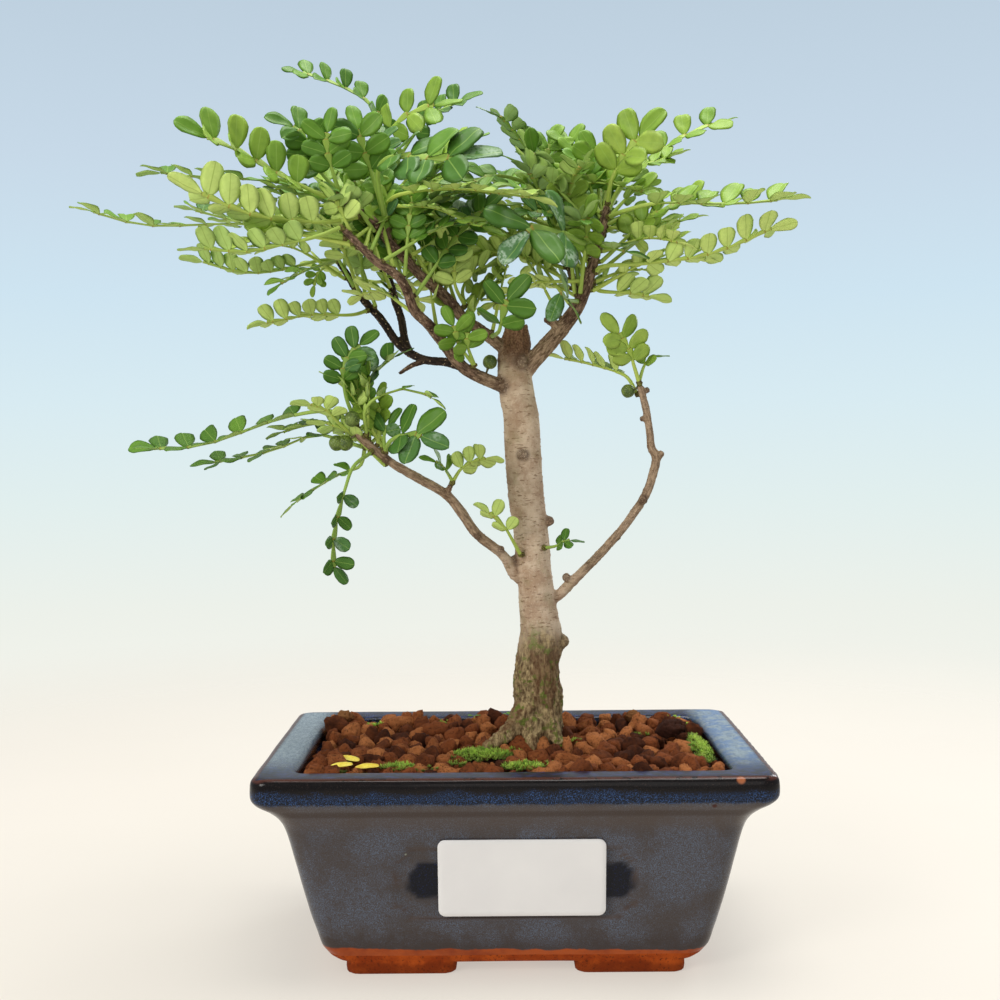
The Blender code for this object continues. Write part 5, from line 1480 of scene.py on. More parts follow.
# %% The rows of the leaves
Leaf = namedtuple("Leaf", "pairs size tilt tone route fold roll", defaults=(12.0, 0.0))
SPRAYS = {
    "leaves_upper_tip_front": ("left_upper_main", 1.0, [
        Leaf(3, 7.0, 65, 0.45, [(327, 150, -26), (328, 127, -28), (332, 104, -28)]),
        Leaf(4, 7.5, 50, 0.30, [(318, 168, -22), (301, 132, -24), (263, 118, -28)]),
    ]),
    "leaf_upper_left_ovals": ("left_upper_main", 0.985, [
        Leaf(5, 8.5, 50, 0.72, [(315, 192, -26), (280, 175, -30), (238, 151, -34), (172, 123, -40)], 36),
    ]),
    "leaf_upper_left_edge": ("left_upper_main", 0.955, [
        Leaf(6, 7.5, 8, 0.40, [(308, 192, -12), (270, 181, -4), (200, 177, 4), (136, 170, 9)]),
    ]),
    "leaf_upper_left_pale": ("left_upper_main", 0.90, [
        Leaf(6, 8.5, -36, 0.85, [(325, 222, -27), (265, 218, -36), (214, 200, -42), (169, 174, -46)], 36),
    ]),
    "leaves_front_yellow": ("upright_shoot", 1.0, [
        Leaf(6, 7.5, 10, 0.95, [(402, 194, -22), (453, 189, -32), (500, 193, -36), (560, 203, -38)]),
        Leaf(6, 7.0, 15, 0.80, [(400, 206, -18), (434, 208, -24), (466, 221, -28), (508, 233, -32)]),
    ]),
    "leaves_front_glossy": ("upright_shoot", 0.6, [
        Leaf(4, 11.0, 62, 0.32, [(378, 172, -24), (395, 156, -32), (440, 159, -42), (500, 148, -46)]),
        Leaf(3, 8.0, 65, 0.45, [(372, 175, -16), (361, 140, -20), (350, 100, -19)]),
    ]),
    "leaf_lower_tip_shelf": ("left_lower_main", 1.0, [
        Leaf(6, 7.0, -26, 0.6, [(318, 236, -32), (278, 246, -35), (239, 252, -36), (175, 245, -37)], 34),
    ]),
    "leaves_lower_tip_long": ("left_lower_main", 0.97, [
        Leaf(8, 7.5, 5, 0.5, [(320, 229, -20), (231, 224, 2), (143, 225, 10), (68, 204, 12)]),
        Leaf(5, 6.5, 5, 0.4, [(318, 234, -27), (270, 231, -19), (220, 217, -14), (172, 205, -12)]),
    ]),
    "leaves_back_left": ("back_limb", 1.0, [
        Leaf(8, 6.5, -20, 0.5, [(317, 261, 30), (277, 271, 26), (239, 272, 22), (180, 255, 19)], 30),
        Leaf(4, 6.0, 0, 0.6, [(318, 266, 22), (301, 273, 14), (267, 292, 2)]),
        Leaf(3, 3.5, 80, 0.7, [(319, 272, 34), (315, 283, 35), (311, 297, 36)]),
    ]),
    "leaf_back_left_low": ("back_limb", 0.72, [
        Leaf(6, 6.0, -32, 0.8, [(350, 315, 20), (312, 315, 14), (277, 321, 9), (245, 328, 7)], 30),
    ]),
    "leaves_low_branch_upright": ("left_lower", 1.0, [
        Leaf(4, 6.0, 50, 0.24, [(345, 392, -22), (346, 360, -24), (378, 330, -22)], 16, 14),
        Leaf(3, 6.4, 34, 0.22, [(358, 398, -16), (380, 368, -13), (414, 344, -13)], 26, -16),
    ]),
    "leaves_low_branch_long": ("left_lower", 0.975, [
        Leaf(6, 8.0, 24, 0.40, [(335, 412, -18), (283, 418, -13), (200, 446, -6), (126, 449, -2)], 22),
        Leaf(3, 5.4, -24, 0.8, [(340, 424, -22), (322, 408, -28), (290, 402, -33)]),
        Leaf(3, 6.0, 10, 0.4, [(335, 423, -13), (299, 427, -7), (266, 440, -2)]),
    ]),
    "leaf_low_branch_arch": ("left_lower", 0.95, [
        Leaf(3, 4.5, 5, 0.5, [(366, 408, -25), (390, 391, -27), (418, 391, -28), (446, 408, -29)]),
    ]),
    "leaves_low_branch_shelf": ("left_lower", 0.91, [
        Leaf(6, 6.8, 14, 0.50, [(345, 442, -8), (314, 435, -4), (268, 452, 1), (191, 467, 5)], 8),
        Leaf(5, 6.0, 10, 0.45, [(360, 466, -13), (342, 473, -14), (313, 490, -15), (278, 516, -16)]),
    ]),
    "leaf_low_branch_hanging": ("left_lower", 0.89, [
        Leaf(4, 5.2, 85, 0.22, [
            (354, 466, -27), (346, 486, -30), (334, 532, -31), (334, 568, -31), (347, 583, -31),
        ], 40, -38),
    ]),
    "leaves_low_branch_front": ("left_lower", 0.85, [
        Leaf(2, 8.8, 62, 0.26, [(392, 440, -24), (412, 434, -31), (450, 448, -38)]),
        Leaf(1, 6.0, 45, 0.25, [(384, 436, -18), (390, 424, -19), (403, 408, -20)]),
    ]),
    "leaves_spur": ("left_spur", 1.0, [
        Leaf(2, 5.0, 35, 0.5, [(444, 468, -11), (432, 460, -13), (418, 455, -14)]),
        Leaf(3, 5.5, -32, 0.8, [(462, 468, -9), (478, 460, -10), (506, 457, -12)], 26),
    ]),
    "sprout_trunk_left": ("trunk", 0.49, [
        Leaf(2, 5.2, -42, 0.8, [(503, 524, -8), (492, 515, -10), (473, 503, -12)], 20),
    ]),
    "sprout_trunk_right": ("trunk", 0.50, [
        Leaf(2, 4.0, 30, 0.25, [(556, 546, -6), (566, 541, -7), (585, 539, -8)]),
    ]),
    "leaves_whip_tip": ("right_whip", 1.0, [
        Leaf(3, 6.6, 66, 0.9, [(634, 366, -12), (627, 345, -14), (602, 314, -16)]),
        Leaf(1, 4.5, 20, 0.6, [(644, 366, -9), (651, 357, -9), (669, 352, -9)]),
    ]),
    "leaf_whip_side": ("right_whip", 0.97, [
        Leaf(5, 6.0, -32, 0.85, [(627, 377, -6), (610, 370, -2), (580, 362, 6), (546, 356, 13)], 30),
    ]),
    "leaf_right_upright": ("right_upper", 1.0, [
        Leaf(3, 9.0, 65, 0.85, [(611, 182, -12), (621, 160, -15), (634, 143, -17), (664, 108, -20)]),
    ]),
    "leaves_right_top": ("right_upper", 0.975, [
        Leaf(4, 6.5, 25, 0.7, [(618, 190, -3), (637, 168, -1), (660, 161, 1), (692, 149, 3)]),
        Leaf(5, 7.5, 32, 0.7, [(620, 190, 4), (642, 166, 9), (680, 138, 13), (736, 115, 18)], 22),
    ]),
    "leaf_right_long": ("right_upper", 0.95, [
        Leaf(6, 8.5, 20, 0.7, [(624, 211, -14), (660, 203, -20), (732, 204, -24), (812, 197, -26)], 22),
    ]),
    "leaves_right_middle": ("right_upper", 0.90, [
        Leaf(4, 6.0, -30, 0.9, [(624, 218, 0), (643, 229, 3), (662, 237, 5), (688, 247, 8)], 34),
        Leaf(3, 7.5, 60, 0.6, [(599, 197, 1), (597, 168, 2), (594, 152, 2), (580, 129, 1)]),
        Leaf(5, 7.0, 10, 0.4, [(615, 232, 10), (640, 225, 22), (676, 220, 38)]),
    ]),
    "leaf_right_shelf": ("right_upper", 0.67, [
        Leaf(7, 7.0, -26, 0.85, [(605, 266, -9), (664, 262, -12), (720, 251, -16), (797, 217, -20)], 20),
    ]),
    "leaves_right_low": ("right_upper", 0.60, [
        Leaf(3, 7.0, -30, 0.85, [(600, 291, -1), (635, 294, -1), (674, 303, 0)], 26),
        Leaf(2, 6.5, -20, 0.75, [(596, 288, 4), (608, 281, 7), (638, 273, 11)], 26),
    ]),
    "leaves_front_big": ("right_upper", 0.83, [
        Leaf(2, 12.0, 76, 0.12, [(584, 243, -14), (562, 232, -28), (536, 226, -38), (500, 266, -46)]),
        Leaf(1, 7.5, 10, 0.3, [(604, 247, -12), (620, 250, -16), (650, 262, -20)]),
    ]),
    "leaf_stump_front": ("left_upper_main", 0.12, [
        Leaf(2, 8.2, 75, 0.3, [(499, 331, -12), (503, 313, -18), (509, 298, -22), (527, 276, -26)]),
    ]),
    "leaf_right_front_low": ("right_upper", 0.50, [
        Leaf(1, 8.0, 78, 0.14, [(568, 300, -15), (560, 294, -22), (551, 318, -26)]),
    ]),
    "leaves_middle_shoot": ("middle_shoot", 1.0, [
        Leaf(5, 7.0, 10, 0.1, [(530, 155, 9), (514, 132, 4), (499, 116, 0), (478, 103, -3)]),
        Leaf(3, 7.5, 55, 0.6, [(546, 160, 11), (550, 143, 13), (563, 124, 15)]),
        Leaf(2, 7.5, 65, 0.35, [(537, 168, 3), (533, 152, -8), (529, 128, -14)]),
    ]),
    "leaves_back_top": ("back_limb_second", 1.0, [
        Leaf(3, 8.2, 68, 0.66, [(388, 150, 32), (390, 130, 27), (412, 112, 22), (462, 98, 17)]),
        Leaf(4, 7.0, 40, 0.3, [(404, 150, 34), (428, 118, 32), (450, 106, 31), (482, 92, 30)]),
        Leaf(6, 6.5, 40, 0.4, [(384, 145, 38), (376, 110, 36), (340, 86, 33), (280, 66, 30)], 24),
    ]),
    "leaves_upper_middle": ("left_upper_main", 0.30, [
        Leaf(4, 6.0, -58, 0.9, [(455, 285, -7), (454, 262, -9), (448, 243, -11), (438, 222, -12)]),
        Leaf(3, 6.0, -34, 0.8, [(463, 288, 3), (476, 271, 6), (506, 262, 9)]),
    ]),
    "leaves_lower_middle": ("left_lower_main", 0.22, [
        Leaf(3, 6.0, 60, 0.62, [(459, 345, -12), (454, 328, -15), (444, 304, -17)]),
        Leaf(2, 6.0, 60, 0.6, [(467, 344, -12), (468, 330, -13), (471, 309, -14)]),
    ]),
    "leaves_back_low": ("back_limb_second", 0.52, [
        Leaf(5, 7.0, -26, 0.9, [(405, 274, 42), (432, 262, 50), (468, 252, 58)], 24),
        Leaf(6, 7.0, -22, 0.85, [(375, 282, 43), (345, 274, 51), (300, 262, 60)]),
    ]),
    "leaves_back_high": ("back_limb_second", 0.88, [
        Leaf(5, 7.0, -28, 0.9, [(410, 196, 48), (440, 190, 56), (480, 184, 64)]),
        Leaf(5, 7.0, -15, 0.6, [(362, 186, 48), (335, 178, 56), (295, 168, 63)]),
    ]),
    "leaves_middle_back": ("middle_shoot", 0.62, [
        Leaf(5, 7.0, -24, 0.85, [(566, 214, 24), (582, 204, 36), (606, 196, 50)], 20),
        Leaf(5, 7.0, -28, 0.95, [(544, 222, 24), (522, 218, 36), (494, 212, 50)], 20),
    ]),
}
print(len(SPRAYS), "sprays with", sum(len(spray[2]) for spray in SPRAYS.values()), "leaves")

# %% [markdown]
# ## The pieces of a leaf
# A few small shapes are enough for the whole crown: five leaflets that differ in how they cup, droop and
# twist, one joint of the winged stalk, and a bud. Each is one unit long, so that a spray can scale it, and
# a leaflet is only some eighty faces, because it is repeated hundreds of times. A number on each face says
# whether it is upper side, underside, stalk or bud, for the materials, and a map on each point says where on
# the leaflet it is, for the veins.

# %% Leaflet
UPPER_SIDE, UNDER_SIDE, STALK, BUD = range(4)
LEAFLET_ROWS = (0.0, 0.05, 0.14, 0.27, 0.41, 0.55, 0.69, 0.81, 0.91, 0.97, 1.0)
LEAFLET_THICK = 0.045
Habit = namedtuple("Habit", "cup droop twist waist")
HABITS = [
    Habit(0.10, 0.08, 0.00, 0.56), Habit(0.16, 0.02, 0.10, 0.60), Habit(0.05, 0.14, -0.08, 0.54),
    Habit(0.20, 0.10, 0.06, 0.62), Habit(-0.05, 0.16, 0.12, 0.58),
]


def leaflet_half(share, waist):
    """Half the width of a leaflet that is one wide: a tapering base, widest past the middle, a round end."""
    if share < waist:
        off = (waist - share) / waist
        return 0.03 + 0.47 * (1 - off**1.9) ** 0.75
    off = (share - waist) / (1 - waist)
    return 0.03 + 0.47 * math.sqrt(1 - off**2.3)


def leaflet_shape(number, habit):
    """An oval blade with a crease along its middle and a scalloped edge, closed between its two sides."""
    form = bmesh.new()
    sides = []
    for side in (1, -1):
        grid = []
        for row, share in enumerate(LEAFLET_ROWS):
            half = leaflet_half(share, habit.waist)
            scallop = 1.0 - 0.035 * (row % 2) * ease(share, 0.2, 0.5)
            line = []
            for step in (-1.0, -0.55, 0.0, 0.55, 1.0):
                x = half * step * (scallop if abs(step) == 1 else 1)
                lift = habit.cup * abs(step) * half * 1.2 - habit.droop * share**2
                lift += habit.twist * share * step * half + 0.02 * math.sin(9 * share + 2 * step)
                thick = LEAFLET_THICK * (1 - step**2)
                crease = -0.018 if step == 0 and side == 1 else 0.0
                line.append(Vector((x, share, lift + side * thick / 2 + crease)))
            grid.append(line)
        sides.append(grid)
    rim = {}

    def vert(side, row, column):
        on_rim = column in (0, 4) or row in (0, len(LEAFLET_ROWS) - 1)
        key = (0 if on_rim else side, row, column)
        if key not in rim:
            both = sides[0][row][column], sides[1][row][column]
            rim[key] = form.verts.new((both[0] + both[1]) / 2 if on_rim else sides[side][row][column])
        return rim[key]

    for side in (0, 1):
        for row in range(len(LEAFLET_ROWS) - 1):
            for column in range(4):
                corners = [vert(side, row, column), vert(side, row, column + 1),
                           vert(side, row + 1, column + 1), vert(side, row + 1, column)]
                face = form.faces.new(corners if side == 0 else corners[::-1])
                face.material_index = UPPER_SIDE if side == 0 else UNDER_SIDE
    return shape_object(f"shape_{number}_leaflet", form)


print("widest part of a leaflet:", round(2 * max(leaflet_half(share, 0.56) for share in LEAFLET_ROWS), 2))


# %% Stalk joint and bud
def joint_shape(number):
    """One joint of the stalk: a rounded rib with a flat wing that widens towards the next pair."""
    form = bmesh.new()
    rings = []
    for share, width, depth in (
        (0.0, 0.40, 0.34), (0.06, 0.34, 0.26), (0.3, 0.52, 0.24), (0.6, 0.82, 0.23), (0.85, 1.0, 0.24),
        (0.96, 0.84, 0.30), (1.03, 0.42, 0.36),
    ):
        ring = []
        for i in range(8):
            angle = 2 * math.pi * i / 8
            wing = abs(math.cos(angle)) ** 1.5 * (1 if math.cos(angle) > 0 else -1)
            rise = 0.5 * depth * math.sin(angle) + 0.13 * abs(wing) * width
            ring.append((-0.5 * width * wing, share, rise))
        rings.append(ring)
    loft(form, rings, finish=STALK)
    bmesh.ops.recalc_face_normals(form, faces=form.faces)
    return shape_object(f"shape_{number}_joint", form)


def bud_shape(number):
    form = bmesh.new()
    bmesh.ops.create_icosphere(form, subdivisions=2, radius=1)
    for vert in form.verts:
        vert.co *= 1 + 0.16 * math.sin(5 * math.atan2(vert.co.x, vert.co.z) + 4 * vert.co.y)
    for face in form.faces:
        face.material_index = BUD
    return shape_object(f"shape_{number}_bud", form)


def shape_object(name, form):
    """A source shape with its map and its part numbers as attributes."""
    mesh = bpy.data.meshes.new(name)
    form.to_mesh(mesh)
    form.free()
    parts = mesh.attributes.new("part", "INT", "FACE")
    for face in mesh.polygons:
        parts.data[face.index].value = face.material_index
        face.material_index = 0
    chart = mesh.attributes.new("chart", "FLOAT_VECTOR", "POINT")
    for vert in mesh.vertices:
        chart.data[vert.index].vector = vert.co
    mesh.shade_smooth()
    return bpy.data.objects.new(name, mesh)


leaf_shapes = bpy.data.collections.new("leaf shapes")
for number, habit in enumerate(HABITS):
    leaf_shapes.objects.link(leaflet_shape(number, habit))
JOINT_KIND = len(HABITS)
BUD_KIND = JOINT_KIND + 1
leaf_shapes.objects.link(joint_shape(JOINT_KIND))
leaf_shapes.objects.link(bud_shape(BUD_KIND))

# %% [markdown]
# ## The colours of a leaf
# The upper side is the darker one, with a light middle vein, and old leaves have pale oil dots there and
# whitish patches that are partly dried dew and partly painted glare off wet spots. The underside is a matt
# yellow-green with a net of veins and a darker edge. The same tone number moves both from a blue-green old
# leaf to a yellow young one, and each leaflet has a little of its own. Light that comes through a thin leaf
# makes its underside glow. Scattering under the surface could show that, but it is slow and noisy on so many
# leaves, so the undersides simply have paler greens.


# %% Leaf finishes
def tone_ramp(finish, stops):
    return set_stops(finish.add("ShaderNodeValToRGB", {0: finish.attribute("tone")}), stops)


def leaf_face(name, roughness, specular, greens):
    """A finish, its green by the tone, and how far from the middle vein each point is."""
    finish = Finish(name, roughness, specular)
    green = tone_ramp(finish, greens)
    return finish, green, finish.calc("ABSOLUTE", finish.chart()["X"])


def make_upper_side():
    finish, green, across = leaf_face("leaf_upper_side", 0.45, 0.2, [
        (0.0, (74, 113, 70)), (0.25, (70, 110, 36)), (0.5, (100, 142, 46)),
        (0.75, (132, 164, 58)), (1.0, (162, 186, 80)),
    ])
    cloud = finish.grain(0.25, 3, 0.6)
    colour = finish.blend(finish.both(finish.step(cloud, 0.4, 0.7), 0.25), green, (54, 98, 28))
    vein = finish.step(across, 0.028, 0.008)
    colour = finish.over(colour, vein, 0.4, (158, 188, 92))
    edge = finish.step(across, 0.40, 0.5)
    colour = finish.over(colour, edge, 0.3, (60, 92, 34))
    old = finish.step(finish.attribute("tone"), 0.22, 0.10)
    dots = finish.both(finish.step(finish.cells(0.7), 0.10, 0.05), old)
    colour = finish.over(colour, dots, 0.4, (196, 210, 150))
    # Whitish patches on old leaves: partly dried dew and partly painted glare off wet spots.
    patch = finish.step(finish.grain(0.12, 3, 0.6), 0.45, 0.56)
    dew_and_painted_glare = finish.both(finish.both(patch, finish.step(finish.grain(0.9, 2), 0.38, 0.58)), old)
    colour = finish.over(colour, dew_and_painted_glare, 0.5, (196, 214, 192))
    finish.colour(colour)
    finish.rough(finish.calc("ADD", finish.both(dew_and_painted_glare, -0.6), cloud), 0.34, 0.56)
    swell = finish.grain(0.4, 1)
    finish.relief(finish.calc("SUBTRACT", swell, finish.both(vein, 0.3)), 0.12, 0.3)
    return finish


def make_under_side():
    finish, green, across = leaf_face("leaf_underside", 0.6, 0.15, [
        (0.0, (134, 164, 112)), (0.25, (150, 178, 104)), (0.5, (172, 201, 110)),
        (0.75, (190, 214, 118)), (1.0, (204, 223, 124)),
    ])
    net = finish.step(finish.grain(0.8, 2, 0.5), 0.42, 0.6)
    colour = finish.blend(finish.both(net, 0.12), green, (128, 160, 66))
    vein = finish.step(across, 0.034, 0.01)
    colour = finish.over(colour, vein, 0.5, (132, 156, 60))
    edge = finish.step(across, 0.42, 0.5)
    colour = finish.over(colour, edge, 0.55, (92, 122, 44))
    finish.colour(colour)
    finish.relief(finish.calc("ADD", finish.grain(0.4, 1), finish.both(vein, 0.3)), 0.12, 0.3)
    return finish


print("upper side and underside ready")


# %% Stalk and bud finishes
def make_stalk_skin():
    finish = Finish("green_stalk", 0.5, 0.25)
    tone = finish.attribute("tone")
    green = tone_ramp(finish, [
        (0.0, (92, 130, 62)), (0.3, (124, 158, 66)), (0.6, (154, 182, 80)),
        (1.0, (186, 202, 92)),
    ])
    chart = finish.chart()
    top = finish.step(chart["Z"], 0.0, 0.05)
    green = finish.blend(finish.both(top, 0.7), green, finish.blend(tone, (62, 104, 44), (158, 186, 70)))
    node = finish.step(chart["Y"], 0.93, 1.0)
    colour = finish.blend(finish.both(finish.grain(0.8, 3), 0.4), green, (150, 170, 84))
    colour = finish.over(colour, node, 0.7, (150, 120, 50))
    finish.colour(colour)
    finish.relief(finish.grain(0.6, 1), 0.1, 0.5)
    return finish


def make_bud_skin():
    finish = Finish("brown_bud", 0.7, 0.3)
    spot = finish.step(finish.grain(1.3, 4, 0.7), 0.38, 0.62)
    finish.colour(finish.blend(spot, (64, 44, 26), (120, 118, 52)))
    finish.relief(finish.grain(2.5, 4, 0.7), 0.2)
    return finish


leaf_finishes = [make_upper_side(), make_under_side(), make_stalk_skin(), make_bud_skin()]
print("leaf finishes:", [finish.material.name for finish in leaf_finishes])

# %% [markdown]
# ## A tree of nodes that grows a spray
# The spray's plan is a mesh of bare points. An edge between two points is a piece of leaf stem, and a tube
# is run along it. A point with a kind of 0 or more carries a shape: Instance on Points picks it by its kind
# and turns and scales it by the point's own attributes. Realize Instances makes it all one mesh, and Set
# Material goes by the part number on each face.


# %% Geometry Nodes: spray
PART_LABELS = ("Upper side", "Underside", "Stalk", "Bud")
TUBE_SIDES = 7


def spray_nodes():
    tree, given = new_nodes_tree("grow a spray", {
        "Shapes": "Collection", "Tube sides": "Int", **dict.fromkeys(PART_LABELS, "Material"),
    })
    kind = read_attribute(tree, "kind", "INT")
    shapes = add_node(tree, "GeometryNodeCollectionInfo", {
        "Collection": given["Shapes"], "Separate Children": True, "Reset Children": True,
    })
    grown = add_node(tree, "GeometryNodeInstanceOnPoints", {
        "Points": given["Geometry"], "Selection": compare(tree, kind, 0, "GREATER_EQUAL"),
        "Instance": shapes.outputs[0], "Pick Instance": True, "Instance Index": kind,
        "Rotation": read_attribute(tree, "turn", "QUATERNION"),
        "Scale": read_attribute(tree, "grown", "FLOAT_VECTOR"),
    })
    thick = read_attribute(tree, "thick", "FLOAT")
    tubes = tubes_along(tree, given["Geometry"], given["Tube sides"], 1.0, {"Scale": thick})
    numbered = add_node(tree, "GeometryNodeStoreNamedAttribute", {
        "Geometry": tubes, "Name": "part", "Value": STALK,
    }, data_type="INT", domain="FACE")
    joined = add_node(tree, "GeometryNodeJoinGeometry")
    for source in (grown.outputs[0], numbered.outputs[0]):
        tree.links.new(source, joined.inputs[0])
    last = add_node(tree, "GeometryNodeRealizeInstances", {0: joined.outputs[0]}).outputs[0]
    part = read_attribute(tree, "part", "INT")
    for number, label in enumerate(PART_LABELS):
        last = add_node(tree, "GeometryNodeSetMaterial", {
            "Geometry": last, "Selection": compare(tree, part, number, "EQUAL"), "Material": given[label],
        }).outputs[0]
    smooth = add_node(tree, "GeometryNodeSetShadeSmooth", {"Geometry": last})
    add_node(tree, "NodeGroupOutput", {0: smooth.outputs[0]})
    return tree


spray_tree = spray_nodes()
print("nodes in the spray tree:", len(spray_tree.nodes))

# %% [markdown]
# ## The plan of each spray
# These functions read a row of leaves and write the bare points. A leaf's stem leaves its bud on a smooth
# curve, its joints run from pair to pair, and at each joint two leaflets lean forward and a little up. A
# seeded random number bends each leaflet slightly, because no two on a real leaf are the same.

# %% Places along limbs and leaves
BUD_RADIUS = 0.95
LEAFLET_FORWARD = 26.0
END_LEAFLET_ROOM = 1.05
END_PAIR_BACK = 1.8
BARE_LONG = 0.28
BARE_SHORT = 0.42
ROUTE_STEPS = 48
LEAFLET_FULL = 1.15
LEAFLET_WIDE = 0.68
PAIR_ROOM = 0.5
BARE_LEAST = 0.14
LEAFLET_CLOSE = 1.3
LEAFLET_START = 0.3
STEM_THIN = 0.36
STEM_BY_SIZE = 0.036
WING_THIN = 0.55
WING_BY_SIZE = 0.27
WING_DEEP = 2.6
Station = namedtuple("Station", "place along radius")


def limb_station(name, share):
    """Where a share of the way along a limb is, with its direction and its radius there."""
    row = ROW_OF[name]
    places = [sight(*values[:3]) for values in row]
    steps = [(b - a).length for a, b in zip(places, places[1:])]
    left = share * sum(steps)
    for index, step in enumerate(steps):
        if left <= step or index == len(steps) - 1:
            break
        left -= step
    part = min(left / step, 1)
    radius = row[index][3] + part * (row[index + 1][3] - row[index][3])
    along = (places[index + 1] - places[index]).normalized()
    return Station(places[index].lerp(places[index + 1], part), along, radius)


def bud_place(limb, share, leaves):
    """The middle of the bud, on the side of the limb that its leaves leave from."""
    station = limb_station(limb, share)
    if share == 1.0:
        return station.place + station.along * (GAP + BUD_RADIUS), station.along
    targets = [sight(*leaf.route[0]) for leaf in leaves]
    away = sum(targets, Vector()) / len(targets) - station.place
    away = (away - station.along * away.dot(station.along)).normalized()
    return station.place + away * (station.radius + GAP + BUD_RADIUS), away


def smooth_route(points):
    """Evenly spaced places along the leaf's route, and its length."""
    places = smooth_row(points, sum((b - a).length for a, b in zip(points, points[1:])) / ROUTE_STEPS)
    return places, sum((b - a).length for a, b in zip(places, places[1:]))


def route_at(places, length, distance):
    position = min(max(distance / length, 0), 1) * (len(places) - 1)
    index = min(int(position), len(places) - 2)
    return places[index].lerp(places[index + 1], position - index)


def upper_at(along, leaf):
    """The way that the leaf's upper side faces: up, tilted to the front and rolled over its stalk."""
    tilt = math.radians(leaf.tilt)
    aim = Vector((0, -math.sin(tilt), math.cos(tilt)))
    return Quaternion(along, math.radians(leaf.roll)) @ (aim - along * aim.dot(along)).normalized()


def turn_to(along, upper):
    """The rotation that sends a shape's Y along and its Z to the upper side."""
    across = along.cross(upper)
    return Matrix((across, along, upper)).transposed().to_quaternion()


print("place of the first bud:", [round(value, 1) for value in limb_station("left_upper_main", 1.0).place])


# %% The bare points of a spray
class SprayPlan:
    """The bare points of one spray and what each of them carries."""

    def __init__(self):
        self.points = []
        self.edges = []

    def add(self, place, kind=-1, turn=Quaternion(), grown=(1, 1, 1), tone=0.5, thick=0.4):
        self.points.append((place, kind, turn, grown, tone, thick))
        return len(self.points) - 1

    def stem(self, places, thicks, tone):
        last = None
        for place, thick in zip(places, thicks):
            number = self.add(place, tone=tone, thick=thick)
            if last is not None:
                self.edges.append((last, number))
            last = number

    def guide(self):
        mesh = bpy.data.meshes.new("guide")
        mesh.from_pydata([point[0] for point in self.points], self.edges, [])
        kinds, turns, sizes, tones, thicks = new_attributes(mesh, {
            "kind": "INT", "turn": "QUATERNION", "grown": "FLOAT_VECTOR", "tone": "FLOAT", "thick": "FLOAT",
        })
        for number, (_, kind, turn, grown, tone, thick) in enumerate(self.points):
            kinds[number].value = kind
            turns[number].value = turn
            sizes[number].vector = grown
            tones[number].value = tone
            thicks[number].value = thick
        return bpy.data.objects.new("guide", mesh)


print("each point carries a kind, a turn, a size, a tone and a thickness")


# %% Plan one leaf
def add_leaflet(plan, place, out, upper, size, width, tone, dice):
    """One leaflet, a little turned, rolled and toned by chance."""
    out = (out + upper * dice.uniform(-0.10, 0.12)).normalized()
    normal = (upper - out * upper.dot(out)).normalized()
    normal = Quaternion(out, math.radians(dice.gauss(0, 9))) @ normal
    kind = dice.randrange(len(HABITS))
    grown = (width * dice.uniform(0.94, 1.08), size * dice.uniform(0.93, 1.07), size)
    plan.add(place, kind, turn_to(out, normal), grown, min(max(tone + dice.gauss(0, 0.07), 0), 1))


def add_leaf(plan, bud, points, leaf, dice):
    """One compound leaf: its stem, its winged joints, its pairs of leaflets and its end leaflet."""
    places, length = smooth_route([bud] + points)
    full = leaf.size * LEAFLET_FULL
    stalk_end = length - full * END_LEAFLET_ROOM
    last = stalk_end - END_PAIR_BACK
    bare = (BARE_LONG if leaf.pairs > 4 else BARE_SHORT) * length
    first = min(max(min(bare, last - PAIR_ROOM * full * (leaf.pairs - 1)), BARE_LEAST * length), last)
    spacing = (last - first) / (leaf.pairs - 1) if leaf.pairs > 1 else full * 2
    pairs = [first + spacing * number for number in range(leaf.pairs)]
    steps = max(4, round(first / 1.5))
    thick = STEM_THIN + STEM_BY_SIZE * leaf.size
    stalk_tone = 0.25 + 0.75 * leaf.tone
    plan.stem(
        [route_at(places, length, first * i / steps) for i in range(steps + 1)],
        [thick * (1.2 - 0.35 * i / steps) for i in range(steps + 1)], stalk_tone,
    )
    width = min(LEAFLET_WIDE * full, LEAFLET_CLOSE * spacing)
    wing = WING_THIN + WING_BY_SIZE * leaf.size
    knots = pairs + [stalk_end]
    for start, end in zip(knots, knots[1:]):
        place, target = route_at(places, length, start), route_at(places, length, end)
        along = (target - place).normalized()
        plan.add(place, JOINT_KIND, turn_to(along, upper_at(along, leaf)),
                 (wing, (target - place).length, WING_DEEP), stalk_tone)
    for number, distance in enumerate(pairs):
        place = route_at(places, length, distance)
        before, after = (route_at(places, length, distance + shift) for shift in (-0.8, 0.8))
        along = (after - before).normalized()
        upper = upper_at(along, leaf)
        across = along.cross(upper)
        size = full * (0.8 + 0.2 * (number + 1) / leaf.pairs)
        for way in (across, -across):
            lean = math.radians(LEAFLET_FORWARD + dice.uniform(-10, 12))
            rise = math.radians(leaf.fold + dice.uniform(-8, 12))
            out = (way * math.cos(lean) + along * math.sin(lean)) * math.cos(rise) + upper * math.sin(rise)
            add_leaflet(plan, place + way * LEAFLET_START, out, upper, size, width, leaf.tone, dice)
    end_place = route_at(places, length, stalk_end)
    along = (route_at(places, length, length) - end_place).normalized()
    add_leaflet(plan, end_place, along, upper_at(along, leaf), full * 1.02,
                min(width, 0.58 * full), leaf.tone, dice)


print("a leaf's stem, joints and leaflets are planned from its row")


# %% Grow the sprays
def spray_values():
    materials = [finish.material for finish in leaf_finishes]
    return {"Shapes": leaf_shapes, "Tube sides": TUBE_SIDES, **dict(zip(PART_LABELS, materials))}


